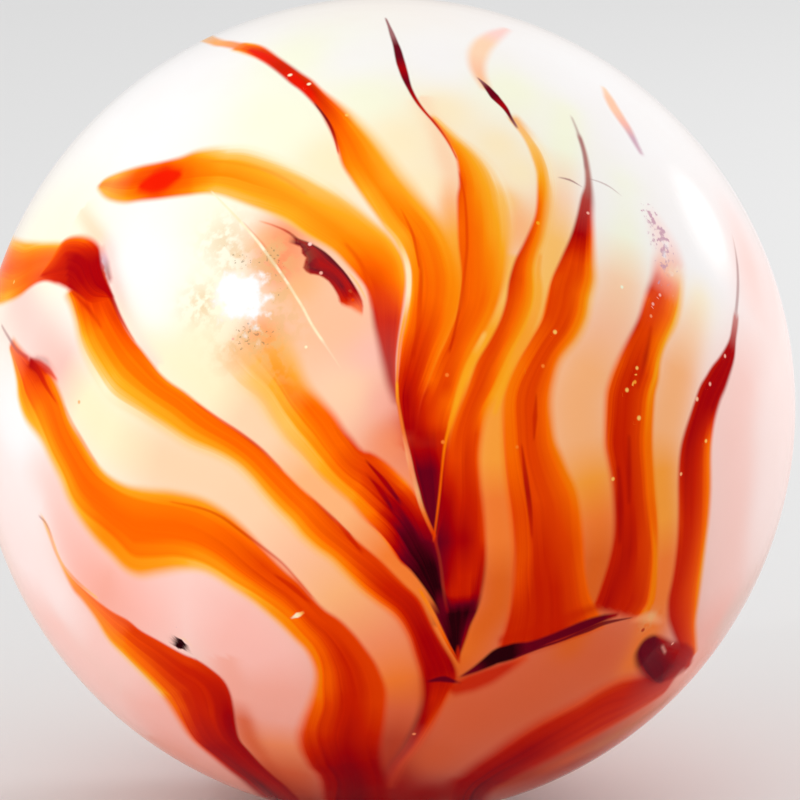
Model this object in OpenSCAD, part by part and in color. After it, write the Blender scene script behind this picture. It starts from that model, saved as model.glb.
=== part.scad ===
// A swirl marble: one ball of milky glass with folded ribbons of amber and oxblood glass
// lying flush in its skin. The ball is centred on the origin with +Z up, and the face
// with the fold in its swirl looks along -Y. All sizes are in millimetres.

/* [Ball] */
// Diameter of the ball
marble_d = 15.9; // [10:0.1:30]
// How far the face of the swirl leans back from upright, in degrees
face_lean = 10; // [0:1:30]

/* [Shear mark] */
// Width of the mark where the gather of glass was cut off
shear_w = 1.1; // [0.6:0.1:2]
// Depth of the mark below its rim
shear_dish = 0.03; // [0.01:0.01:0.1]

/* [Open bubble] */
// Length of the open bubble in the skin
pit_l = 0.26; // [0.16:0.02:0.6]
// Width of the open bubble
pit_w = 0.14; // [0.06:0.02:0.3]
// Slant of the open bubble, in degrees
pit_slant = 28; // [-90:1:90]

/* [Hidden] */
$fn = 96;
ball_r = marble_d / 2;
// Steps that round a ribbon's edges between two of its stations
edge_steps = 2;
// Steps along one side of the open bubble's section
bubble_steps = 8;

milk_glass = [0.99, 0.93, 0.88];
amber_glass = [0.96, 0.38, 0.02];
oxblood_glass = [0.30, 0.0, 0.07];

// The swirl is drawn on its face in hundredths of the ball's radius. A ribbon's station
// is [right, up, width], and the ribbon's edges run smoothly from station to station.
front_ribbons = [
    // up from the foot on the left
    [[-83, -28, 0.4], [-79, -38, 2.5], [-67, -55, 6], [-51, -69, 12], [-43, -77, 12],
     [-36, -87, 11], [-28, -97, 10]],
    // with the wide bend low on the left
    [[-93, 18, 0.4], [-84, 1, 8], [-72, -21, 12], [-61, -30, 18], [-48, -31, 17],
     [-25, -45, 13], [-13, -57, 13], [-8, -69, 17], [-10, -84, 20], [-10, -98, 20]],
    // from the left limb across to the foot
    [[-99, 36, 12], [-88, 34, 13], [-78, 34, 14], [-70, 24, 10], [-62, 8, 10],
     [-52, -1, 10], [-38, -9, 8], [-25, -21, 9], [-13, -33, 10], [-1, -45, 11],
     [8, -56, 11], [10, -70, 8], [5, -86, 5]],
    // from the middle left down to the fold
    [[-33, 16, 4], [-21, 2, 13], [-11, -10, 15], [-3, -22, 14], [5, -33, 12],
     [11, -42, 10], [15, -52, 5], [17, -61, 0.4]],
    // high on the left
    [[-69, 53, 0.4], [-64, 54, 6], [-55, 55, 8], [-44, 56, 10], [-32, 54, 11],
     [-19, 48, 11], [-8, 38, 12], [-1, 27, 11], [2, 14, 7], [3, 2, 3]],
    // over the top, to the left of the fold
    [[-48, 93, 0.4], [-40, 89, 3], [-30, 85, 5], [-21, 80, 6], [-14, 72, 7],
     [-8, 62, 8], [-2, 51, 10], [4, 38, 11], [6, 24, 10], [6, 8, 9], [8, -8, 8],
     [11, -24, 3], [12, -33, 0.4]],
    // from the crest to the fold
    [[0, 99, 1], [3, 85, 2], [6, 77, 3], [11, 70, 4], [17, 62, 6], [22, 53, 9],
     [24, 41, 11], [22, 26, 11], [18, 12, 9], [15, 0, 8], [13, -14, 6], [13, -34, 0.4]],
    // from the loop at the crest to the point of the fold
    [[32, 96, 1], [24, 90, 3], [22, 82, 3], [27, 74, 3], [33, 67, 4], [38, 58, 5],
     [38, 48, 6], [34, 34, 6], [30, 20, 7], [25, 8, 8], [21, -4, 9], [20, -18, 10],
     [20, -34, 12], [20, -46, 10], [18, -56, 5], [17, -62, 0.4]],
    // with its dark point right of the crest
    [[46, 70, 0.4], [48, 60, 3], [50, 50, 5], [47, 38, 7], [43, 24, 10], [38, 12, 12],
     [36, 0, 13], [37, -12, 14], [40, -26, 17], [41, -40, 18], [38, -54, 19],
     [33, -62, 10]],
    // broad, on the right
    [[54, 77, 1], [58, 70, 3], [64, 58, 5], [69, 44, 7], [68, 32, 10], [65, 20, 11],
     [61, 8, 12], [59, -4, 13], [60, -20, 13], [61, -34, 13], [57, -46, 14],
     [51, -54, 7]],
    // nearest the right limb
    [[86, 41, 0.7], [86, 28, 1.4], [84, 16, 4], [80, 6, 7], [77, -6, 9], [75, -20, 9],
     [74, -34, 9], [73, -46, 9], [71, -57, 7]],
    // along the foot, under the fold
    [[66, -66, 10], [56, -76, 12], [43, -82, 14], [30, -88, 14], [16, -95, 12]],
];
back_ribbons = [
    [[-45, 89, 3], [-49, 72, 10], [-44, 52, 14], [-32, 32, 12], [-28, 12, 10],
     [-35, -8, 12], [-46, -28, 15], [-46, -50, 14], [-38, -72, 12], [-28, -97, 10]],
    [[0, 99, 2], [7, 80, 7], [9, 60, 12], [0, 40, 14], [-9, 20, 12], [-7, 0, 10],
     [3, -20, 13], [5, -42, 15], [-3, -64, 15], [-10, -98, 16]],
    [[32, 95, 2], [40, 76, 8], [40, 56, 12], [30, 36, 13], [22, 16, 11], [27, -6, 12],
     [37, -26, 14], [34, -48, 13], [20, -70, 9], [8, -90, 3]],
    [[-99, 36, 10], [-92, 22, 11], [-80, 10, 12], [-70, -6, 11], [-67, -24, 8],
     [-70, -42, 5], [-68, -56, 0.4]],
    [[72, -68, 10], [66, -52, 13], [60, -34, 13], [64, -14, 12], [72, 6, 11],
     [70, 28, 8], [60, 48, 5], [50, 62, 0.4]],
];
// Oxblood glass, where the folds trap the darkest of the colour
dark_folds = [
    // the two sides of the fold, and its point
    [[9, -15, 2], [10, -25, 5], [11, -34, 0.4]],
    [[-1, -22, 2], [5, -31, 8], [10, -40, 8], [13, -48, 4], [15, -54, 0.4]],
    [[19, -46, 7], [18, -54, 6], [17, -60, 0.4]],
    // under the high ribbon
    [[-31, 44, 1], [-22, 40, 4], [-15, 34, 5], [-9, 27, 4], [-5, 23, 0.4]],
    // the blot by the left limb
    [[-84, 37, 5], [-77, 35, 11], [-70, 27, 6]],
    // the seam along the foot, up to the shear mark
    [[13, -66, 1], [22, -64, 3], [29, -60, 5], [40, -56, 4], [50, -52, 3], [58, -51, 0.4]],
    [[63, -56, 6], [67, -61, 12], [70, -66, 6]],
    // the two points right of the crest
    [[48, 60, 2], [49, 50, 4], [46, 40, 3]],
    [[24, 80, 2], [29, 73, 2], [31, 70, 0.4]],
];
// Where the marks lie on the face, [right, up]
shear_place = [67, -62];
pit_place = [-50, -58];

// A place on the drawing of the face, at the ball's real size
function on_face(place) = [place[0], place[1]] * ball_r / 100;

// A value between b and c on the smooth curve through a, b, c and d
function between(a, b, c, d, t) =
    0.5 * (2 * b + (c - a) * t + (2 * a - 5 * b + 4 * c - d) * t * t
           + (3 * b - a - 3 * c + d) * t * t * t);

// The stations of a ribbon with the rounding steps between them
function smoothed(stations) =
    let (last = len(stations) - 1)
    [for (i = [0 : last * edge_steps])
        let (k = min(floor(i / edge_steps), last - 1),
             before = stations[max(k - 1, 0)],
             after = stations[min(k + 2, last)])
        between(before, stations[k], stations[k + 1], after, i / edge_steps - k)];

// The unit vector to the right of a line at one of its points
function rightward(line, i) =
    let (way = on_face(line[min(i + 1, len(line) - 1)]) - on_face(line[max(i - 1, 0)]))
    [way[1], -way[0]] / norm(way);

// One edge of a ribbon: side is -1 for the left and 1 for the right
function edge(line, side) =
    [for (i = [0 : len(line) - 1])
        on_face(line[i]) + rightward(line, i) * side * line[i][2] / 100 * ball_r / 2];

function turned_round(points) = [for (i = [len(points) - 1 : -1 : 0]) points[i]];

// A ribbon as a closed outline on the drawing of the face
module outline(stations) {
    line = smoothed(stations);
    polygon(concat(edge(line, -1), turned_round(edge(line, 1))));
}

// Stands a drawing up and runs it from the middle of the ball out through its front
module through_front() {
    rotate([90, 0, 0])
        linear_extrude(marble_d)
            children();
}

// The same through the back, where a drawing is as it would show through a clear ball
module through_back() {
    rotate([90, 0, 0])
        mirror([0, 0, 1])
            linear_extrude(marble_d)
                children();
}

// Turns what points along +Z to point from the middle of the ball to a place on its face
module facing(place) {
    across = place[0] / 100;
    up = place[1] / 100;
    rise = asin(up);
    rotate([0, 0, asin(across / cos(rise))])
        rotate([90 - rise, 0, 0])
            children();
}

module ball() {
    sphere(d = marble_d);
}

module ribbons() {
    for (stations = front_ribbons) through_front() outline(stations);
    for (stations = back_ribbons) through_back() outline(stations);
}

module folds() {
    for (stations = dark_folds) through_front() outline(stations);
}

// The ball of milky glass with its coloured glass, which is flush with the ball's skin
module glass() {
    color(milk_glass) ball();
    color(amber_glass) intersection() {
        ball();
        ribbons();
    }
    color(oxblood_glass) intersection() {
        ball();
        folds();
    }
}

// A shallow round dish whose rim is a circle of the ball's skin
module shear_mark() {
    rim_r = shear_w / 2;
    rim_height = sqrt(pow(ball_r, 2) - pow(rim_r, 2));
    dish_r = (pow(rim_r, 2) + pow(shear_dish, 2)) / (2 * shear_dish);
    facing(shear_place)
        translate([0, 0, rim_height - shear_dish + dish_r])
            sphere(r = dish_r);
}

// A long bubble that broke through the skin, open along its middle
module open_bubble() {
    half_section = [for (i = [0 : bubble_steps])
        let (turn = -90 + 180 * i / bubble_steps)
        [pit_w / 2 * cos(turn), pit_l / 2 * sin(turn)]];
    facing(pit_place)
        translate([0, 0, ball_r])
            rotate([0, 90, -pit_slant])
                rotate_extrude()
                    polygon(half_section);
}

module marble() {
    rotate([-face_lean, 0, 0])
        difference() {
            glass();
            shear_mark();
            open_bubble();
        }
}

marble();
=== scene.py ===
"""Looks of the swirl marble: one glass ball with ribbons, threads and specks of coloured glass.

The swirl is drawn on a flat sheet, 800 units wide, on which the ball's outline is a
circle of 410 units about (385.5, 407), with x to the right and y down.
on the ball, and the same sheet serves for the far side, as it would show through clear glass.
"""

import logging
import math
from dataclasses import dataclass, field
from enum import Enum

import bpy
import numpy as np
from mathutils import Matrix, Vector


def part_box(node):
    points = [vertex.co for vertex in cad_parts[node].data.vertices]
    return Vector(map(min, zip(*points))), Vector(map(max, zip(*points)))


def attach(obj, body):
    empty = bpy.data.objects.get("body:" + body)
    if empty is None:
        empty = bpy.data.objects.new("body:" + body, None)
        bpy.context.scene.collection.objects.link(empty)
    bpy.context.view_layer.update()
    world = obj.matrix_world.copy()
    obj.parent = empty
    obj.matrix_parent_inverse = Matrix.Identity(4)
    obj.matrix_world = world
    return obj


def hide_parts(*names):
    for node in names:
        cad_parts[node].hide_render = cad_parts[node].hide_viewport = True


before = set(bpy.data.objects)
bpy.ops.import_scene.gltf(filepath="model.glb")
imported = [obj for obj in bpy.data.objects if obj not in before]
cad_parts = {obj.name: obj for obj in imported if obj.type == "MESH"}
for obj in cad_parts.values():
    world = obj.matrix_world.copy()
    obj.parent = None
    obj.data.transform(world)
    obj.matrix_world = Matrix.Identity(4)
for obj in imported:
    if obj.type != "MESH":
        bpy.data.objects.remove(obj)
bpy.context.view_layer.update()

log = logging.getLogger("swirl_marble")

MM = 0.001
HALF = 0.5

# Farther apart than any two places on a ball of radius 1
APART = 9.0
# Stands for the distance to a strand or a speck at a vertex that is nowhere near one
AWAY = 99.0
# Pieces of a smooth line between two of the points that it runs through
STEPS = 5

# The curve that turns a colour of 255 steps into linear light: straight up to the toe's end,
# and a power from there on
COLOUR_STEPS = 255
TOE_END = 0.04045
TOE_SLOPE = 12.92
CURVE_LIFT = 0.055
CURVE_POWER = 2.4

# Numbers of a Mix node's inputs: its share, then what it goes from, then what it goes to
MIX_NUMBERS = (0, 2, 3)
MIX_COLOURS = (0, 6, 7)
# Numbers of its outputs
MIXED_NUMBER = 0
MIXED_COLOUR = 2


def linear_light(colour: tuple[float, ...]) -> np.ndarray:
    """Turns a colour of 255 steps into linear light.

    Args:
        colour: Red, green and blue from 0 to 255.

    Returns:
        The three linear values, from 0 to 1.
    """
    share = np.array(colour, float) / COLOUR_STEPS
    curved = ((share + CURVE_LIFT) / (1 + CURVE_LIFT)) ** CURVE_POWER
    return np.where(share <= TOE_END, share / TOE_SLOPE, curved)


class Glass(Enum):
    """The colours of glass in the ball, each with its letter, and its red, green and blue."""

    MILK = ("w", (249, 247, 247))
    # A pale pink that paints the rim light at the limbs and the highlight at the upper right
    BLOOM = ("l", (255, 232, 228))
    IVORY = ("v", (248, 250, 222))
    CREAM = ("y", (255, 237, 196))
    PEACH = ("p", (255, 211, 172))
    PINK = ("n", (255, 208, 199))
    BLOSSOM = ("u", (255, 191, 179))
    FLESH = ("z", (255, 193, 153))
    ROSE = ("e", (250, 174, 156))
    APRICOT = ("q", (255, 182, 122))
    SALMON = ("s", (250, 146, 98))
    GOLD = ("g", (255, 194, 96))
    HONEY = ("h", (255, 160, 50))
    EMBER = ("j", (250, 126, 42))
    AMBER = ("a", (255, 168, 30))
    ORANGE = ("o", (255, 135, 6))
    DEEP = ("d", (253, 100, 0))
    FLAME = ("f", (232, 64, 0))
    SCARLET = ("R", (240, 22, 0))
    RED = ("r", (206, 30, 0))
    CRIMSON = ("c", (170, 0, 6))
    OXBLOOD = ("x", (106, 0, 24))
    BLACK = ("k", (42, 0, 8))
    MAUVE = ("m", (160, 104, 106))
    BROWN = ("b", (232, 100, 16))
    CLAY = ("t", (226, 100, 58))
    BRICK = ("i", (188, 60, 34))
    TAN = ("T", (230, 184, 124))
    # A greyed pink, which paints shade on the lower right side of the ball
    SHADED_PINK = ("D", (238, 202, 192))
    LILAC = ("L", (204, 156, 176))
    OLIVE = ("O", (150, 122, 88))
    UMBER = ("U", (206, 116, 78))

    @property
    def letter(self) -> str:
        """The letter that stands for this glass in a drawing."""
        return self.value[0]

    @property
    def light(self) -> np.ndarray:
        """The colour as linear light."""
        return linear_light(self.value[1])

    @property
    def paint(self) -> tuple[float, ...]:
        """The colour as a material takes it."""
        return (*self.light, 1.0)


# Each glass by its letter
GLASS = {glass.letter: glass for glass in Glass}
# The glass of a ribbon, from milk to the darkest that a fold traps
DEPTHS = "wvygaodfrcxk"


@dataclass(frozen=True)
class Sheet:
    """The drawing sheet, and how it lies on the ball."""

    centre: tuple[float, float] = (385.5, 407.0)
    reach: float = 410.0
    eye_radii: float = 20.0
    lean_deg: float = 10.0

    def axes(self) -> np.ndarray:
        """Turns the sheet's directions into the ball's frame.

        Returns:
            Right, up and outward, one to a row.
        """
        lean = math.radians(self.lean_deg)
        return np.array([
            (1.0, 0.0, 0.0),
            (0.0, math.sin(lean), math.cos(lean)),
            (0.0, -math.cos(lean), math.sin(lean)),
        ])

    def lift(self, drawn: str) -> np.ndarray:
        """Lays drawn points on a ball of radius 1.

        Args:
            drawn: Points as "x,y x,y". A point with a tilde before it is on the far side.

        Returns:
            One unit vector for each point, in the ball's frame.
        """
        marks = drawn.split()
        side = np.array([1 if mark[0] == "~" else -1 for mark in marks])
        spots = np.array([[float(part) for part in mark.strip("~").split(",")] for mark in marks])
        slope = (spots - self.centre) * (1, -1) / self.reach / math.sqrt(self.eye_radii**2 - 1)
        spread = (slope**2).sum(1) + 1
        room = np.maximum(self.eye_radii**2 - spread * (self.eye_radii**2 - 1), 0)
        step = (self.eye_radii + np.sqrt(room) * side) / spread
        local = np.column_stack([slope * step[:, None], self.eye_radii - step])
        unit = local @ self.axes()
        return unit / np.linalg.norm(unit, axis=1)[:, None]


SHEET = Sheet()


@dataclass(frozen=True)
class Look:
    """The glass across a ribbon, from its low edge to its high one, at one place along it.

    Its two edges are soft over widths in sheet units. Its cover, and its haze of rose glass,
    run from 0 to 1.
    """

    place: str
    glass: str
    soft: tuple[float, float] = (4.0, 4.0)
    cover: float = 1.0
    haze: float = 0.0


@dataclass(frozen=True)
class Ribbon:
    """A wide strand of glass between two edges, both drawn from its tip on."""

    name: str
    low: str
    high: str
    looks: tuple[Look, ...]


@dataclass(frozen=True)
class Thread:
    """A thin strand along one line, with its widths and its glass spread evenly over it."""

    name: str
    line: str
    widths: tuple[float, ...]
    glass: str
    soft: float = 2.5
    cover: float = 1.0


@dataclass(frozen=True)
class Blush:
    """A soft patch in the milky glass: its reach, its letter of glass and its weight."""

    place: str
    reach: float
    glass: str
    weight: float = 1.0


@dataclass(frozen=True)
class Veil:
    """A soft band in the milky glass: its line, with a letter of glass for each point."""

    line: str
    glass: str
    reach: float = 20.0
    weight: float = 1.0


@dataclass(frozen=True)
class WearAndHighlight:
    """A worn patch: its reach, and how strong its frost, tan grains and dusky grains are; the
    white of its frost is a painted highlight.
    """

    place: str
    reach: float
    frost_and_highlight: float = 0.0
    tan: float = 0.0
    dusky: float = 0.0


@dataclass(frozen=True)
class Speck:
    """A tiny bubble, grain or painted glint in the skin, with its size in sheet units."""

    place: str
    size: float
    glass: str


def rounded(drawn: str) -> np.ndarray:
    """Runs a smooth line through drawn points, as a Catmull-Rom curve on the unit ball.

    Args:
        drawn: The points on the sheet.

    Returns:
        The unit vectors along the smooth line.
    """
    points = SHEET.lift(drawn)
    padded = np.vstack([2 * points[0] - points[1], points, 2 * points[-1] - points[-2]])
    share = (np.arange(STEPS) / STEPS)[:, None]
    runs = []
    for a, b, c, d in zip(padded, padded[1:], padded[2:], padded[3:]):
        bend = (3 * b - a - 3 * c + d) * share**3 + (2 * a - 5 * b + 4 * c - d) * share**2
        runs.append(HALF * (2 * b + (c - a) * share + bend))
    line = np.vstack([*runs, points[-1:]])
    return line / np.linalg.norm(line, axis=1)[:, None]


def spread(places: np.ndarray, stations: np.ndarray, rows: list) -> np.ndarray:
    """Spreads rows of values along a strand, evenly from each station to the next.

    Args:
        places: How far along the strand the values are wanted.
        stations: How far along it each row holds.
        rows: One row of values for each station.

    Returns:
        One row of values for each place.
    """
    return np.column_stack([np.interp(places, stations, part) for part in np.array(rows).T])


@dataclass
class Line:
    """A smooth line on the unit ball, carried straight on past both its ends."""

    points: np.ndarray
    overrun: float = 0.14
    ends: np.ndarray = field(init=False)
    run: np.ndarray = field(init=False)

    def __post_init__(self) -> None:
        """Adds the overruns, and measures how far along each point lies."""
        first, last = self.points[0], self.points[-1]
        back = first - self.points[1]
        on = last - self.points[-2]
        ahead = last + on / np.linalg.norm(on) * self.overrun
        behind = first + back / np.linalg.norm(back) * self.overrun
        self.ends = np.vstack([behind, self.points, ahead])
        lengths = np.linalg.norm(np.diff(self.ends, axis=0), axis=1)
        self.run = np.concatenate([[0], np.cumsum(lengths)]) - lengths[0]

    @property
    def length(self) -> float:
        """Length between the two true ends, in radii."""
        return float(self.run[-2])

    def measure(self, places: np.ndarray) -> tuple[np.ndarray, np.ndarray]:
        """Measures places against the line.

        Args:
            places: Unit vectors.

        Returns:
            The distance to the left of the line, and the run along it, both in radii.
        """
        best = np.full(len(places), APART)
        side = np.zeros(len(places))
        run = np.zeros(len(places))
        for start, end, before in zip(self.ends, self.ends[1:], self.run):
            way = end - start
            length = np.linalg.norm(way)
            way = way / length
            out = places - start
            along = np.clip(out @ way, 0, length)
            gap = out - along[:, None] * way
            distance = np.linalg.norm(gap, axis=1)
            near = distance < best
            best[near] = distance[near]
            side[near] = np.sign(gap[near] @ np.cross(start, way))
            run[near] = before + along[near]
        return side * best, run


@dataclass
class Strand:
    """A ribbon or thread as it lies on the ball, with its fields at every vertex near it."""

    name: str
    near: np.ndarray
    shown: set[int]
    claim: set[int]
    fields: dict[str, np.ndarray]

    def clear_of(self, deck: "Deck") -> bool:
        """Tells whether no square of the mesh would lie between this strand and the deck."""
        return self.claim.isdisjoint(deck.near)


def stretched(letters: str, slots: int) -> np.ndarray:
    """Spreads the depths of the glass named by letters evenly over a number of slots.

    Args:
        letters: Glass letters, from the low edge to the high one.
        slots: How many depths to give.

    Returns:
        Depths from 0, which is milk, to 1, which is the darkest glass.
    """
    depths = [DEPTHS.index(letter) / (len(DEPTHS) - 1) for letter in letters]
    return np.interp(np.linspace(0, len(letters) - 1, slots), range(len(letters)), depths)


@dataclass
class Skin:
    """The ball's skin, against which the drawn strands are measured.

    A strand's fields are kept out to its margin. A moat round that keeps apart the strands of
    one deck, as a square of the mesh blends the fields at its corners.
    """

    places: np.ndarray
    slots: int = 6
    stride: int = 3
    margin: float = 7.5
    moat: float = 7.5
    slack: float = 1.0
    widest: float = 60.0
    fade: float = 7.0
    thread_fade: float = 4.0
    veil_reach: float = 6.0
    plain_weight: float = 0.004

    def away(self, place: str) -> np.ndarray:
        """How far each vertex lies from a drawn place, in sheet units."""
        return np.linalg.norm(self.places - SHEET.lift(place), axis=1) * SHEET.reach

    def around(self, points: np.ndarray, reach: float) -> np.ndarray:
        """Finds the vertices near some points.

        Args:
            points: Unit vectors along a strand.
            reach: How near they have to be, in sheet units.

        Returns:
            The numbers of those vertices.
        """
        limit = math.cos(reach / SHEET.reach)
        found = np.zeros(len(self.places), bool)
        for point in points[::self.stride]:
            found |= self.places @ point > limit
        return np.flatnonzero(found)

    def faded(self, cover: np.ndarray, share: np.ndarray, length: float,
              fade: float) -> np.ndarray:
        """Fades a strand's cover out past both its ends."""
        over = np.maximum(-share, share - 1) * length
        return cover * np.clip(1 - over / fade, 0, 1)

    def strand(self, name: str, found: np.ndarray, gate: np.ndarray, margin: float,
               fields: dict[str, np.ndarray]) -> Strand:
        """Keeps the fields where they matter.

        Args:
            name: The strand's name.
            found: Numbers of the vertices that were measured.
            gate: How far inside the strand each one is, in sheet units.
            margin: How far outside it still matters.
            fields: The fields at those vertices.

        Returns:
            The strand.
        """
        inner = gate > -margin
        shown = set(found[gate > self.margin - margin - self.slack].tolist())
        claim = set(found[gate > -margin - self.moat].tolist())
        kept = {key: values[inner] for key, values in fields.items()}
        return Strand(name, found[inner], shown, claim, kept)

    def ribbon(self, drawn: Ribbon) -> Strand:
        """Lays a ribbon on the ball.

        Args:
            drawn: The ribbon on the sheet.

        Returns:
            Its distances, colours and edges at each vertex near it.
        """
        edges = [Line(rounded(drawn.low)), Line(rounded(drawn.high))]
        spots = SHEET.lift(" ".join(look.place for look in drawn.looks))
        found = self.around(np.vstack([edge.points for edge in edges]), self.widest)
        sides, shares, at = [], [], []
        for edge in edges:
            spot_side, spot_run = edge.measure(spots)
            side, run = edge.measure(self.places[found])
            sides.append(side * np.sign(np.sign(spot_side).sum()) * SHEET.reach)
            shares.append(run / edge.length)
            at.append(spot_run / edge.length)
        share, spot_share = np.mean(shares, 0), np.mean(at, 0)
        length = np.mean([edge.length for edge in edges]) * SHEET.reach
        order = np.argsort(spot_share)
        looks = [drawn.looks[k] for k in order]
        rows = [(look.cover, *look.soft, look.haze, *stretched(look.glass, self.slots))
                for look in looks]
        cover, low_soft, high_soft, haze, *depths = spread(share, spot_share[order], rows).T
        cover = self.faded(cover, share, length, self.fade)
        half = self.slots // 2
        fields = {
            "edges": np.column_stack([*sides, cover]),
            "soft": np.column_stack([low_soft, high_soft, haze]),
            "low_glass": np.column_stack(depths[:half]),
            "high_glass": np.column_stack(depths[half:]),
        }
        margin = self.margin + max(max(look.soft) for look in looks) / 2
        return self.strand(drawn.name, found, np.min(sides, 0), margin, fields)

    def thread(self, drawn: Thread) -> Strand:
        """Lays a thread on the ball.

        Args:
            drawn: The thread on the sheet.

        Returns:
            Its distances, colour and edges at each vertex near it.
        """
        line = Line(rounded(drawn.line))
        margin = self.margin + drawn.soft / 2
        found = self.around(line.points, margin + self.moat * 2 + max(drawn.widths) / 2)
        side, run = line.measure(self.places[found])
        share = run / line.length
        half = np.interp(share, np.linspace(0, 1, len(drawn.widths)), drawn.widths) / 2
        sides = np.column_stack([half + side * SHEET.reach, half - side * SHEET.reach])
        cover = np.full(len(found), drawn.cover)
        cover = self.faded(cover, share, line.length * SHEET.reach, self.thread_fade)
        colours = [GLASS[letter].light for letter in drawn.glass]
        fields = {
            "edges": np.column_stack([sides / drawn.soft, cover]),
            "glass": spread(share, np.linspace(0, 1, len(colours)), colours),
        }
        return self.strand(drawn.name, found, sides.min(1), margin, fields)

    def milk(self) -> np.ndarray:
        """Blends the soft patches and bands into the milky glass.

        Returns:
            One linear colour for each vertex.
        """
        weights = np.full(len(self.places), self.plain_weight)
        colours = np.outer(weights, Glass.MILK.light)
        for blush in BLUSHES:
            away = self.away(blush.place) / blush.reach
            weight = blush.weight / (1 + away**2) ** 2
            weights += weight
            colours += np.outer(weight, GLASS[blush.glass].light)
        for veil in VEILS:
            line = Line(rounded(veil.line))
            near = self.around(line.points, self.veil_reach * veil.reach)
            side, run = line.measure(self.places[near])
            away = (side * SHEET.reach / veil.reach) ** 2
            floor = 1 / (1 + self.veil_reach**2)
            weight = veil.weight * np.maximum(1 / (1 + away) - floor, 0) ** 2
            shades = [GLASS[letter].light for letter in veil.glass]
            weights[near] += weight
            colours[near] += spread(run, line.run[1:-1:STEPS], shades) * weight[:, None]
        return colours / weights[:, None]

    def wear_and_highlights(self) -> np.ndarray:
        """Adds up the wear at each vertex, with the painted highlight in its frost.

        Returns:
            The frost with its painted highlight, the tan grains and the dusky grains, one column
            each.
        """
        worn = np.zeros((len(self.places), 3))
        for surface_spot in WEAR_AND_HIGHLIGHTS:
            near = np.exp(-((self.away(surface_spot.place) / surface_spot.reach) ** 2))
            worn += np.outer(near, (surface_spot.frost_and_highlight, surface_spot.tan, surface_spot.dusky))
        return worn

    def specks(self, specks: tuple[Speck, ...]) -> dict[str, np.ndarray]:
        """Measures the vertices round each speck.

        Args:
            specks: The bubbles and grains.

        Returns:
            The offset from the nearest speck in units of its size, and its colour.
        """
        offset = np.full((len(self.places), 3), AWAY)
        colour = np.zeros((len(self.places), 3))
        for speck in specks:
            centre = SHEET.lift(speck.place)
            away = (self.places - centre) * SHEET.reach / speck.size
            near = np.linalg.norm(away, axis=1) < (speck.size + self.margin) / speck.size
            offset[near] = away[near]
            colour[near] = GLASS[speck.glass].light
        return {"offset": offset, "glass": colour}


@dataclass
class Deck:
    """Strands that lie clear of each other, and share one set of attributes."""

    name: str
    strands: list[Strand] = field(default_factory=list)
    shown: set[int] = field(default_factory=set)
    near: set[int] = field(default_factory=set)

    def add(self, strand: Strand) -> None:
        """Lays one more strand in the deck.

        Args:
            strand: The strand, clear of those that are in the deck.
        """
        self.strands.append(strand)
        self.shown |= strand.shown
        self.near |= set(strand.near.tolist())

    def arrays(self, count: int) -> dict[str, np.ndarray]:
        """Spreads the strands' fields over all the vertices.

        Args:
            count: How many vertices the ball has.

        Returns:
            One array of vectors for each key.
        """
        made = {key: np.zeros((count, *values.shape[1:]))
                for key, values in self.strands[0].fields.items()}
        made["edges"][:] = (-AWAY, -AWAY, 0)
        for strand in self.strands:
            for key, values in strand.fields.items():
                made[key][strand.near] = values
        return made


def dealt(strands: list[Strand], title: str) -> list[Deck]:
    """Deals strands into decks, so that each lies over the earlier ones that it meets.

    Args:
        strands: The strands, from the lowest to the uppermost.
        title: First part of each deck's name.

    Returns:
        The decks, the lowest first.
    """
    decks: list[Deck] = []
    for strand in strands:
        met = [k for k, deck in enumerate(decks) if not deck.shown.isdisjoint(strand.shown)]
        level = met[-1] + 1 if met else 0
        while level < len(decks) and not strand.clear_of(decks[level]):
            level += 1
        if level == len(decks):
            decks.append(Deck(f"{title}_{level}"))
        decks[level].add(strand)
    return decks


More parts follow.
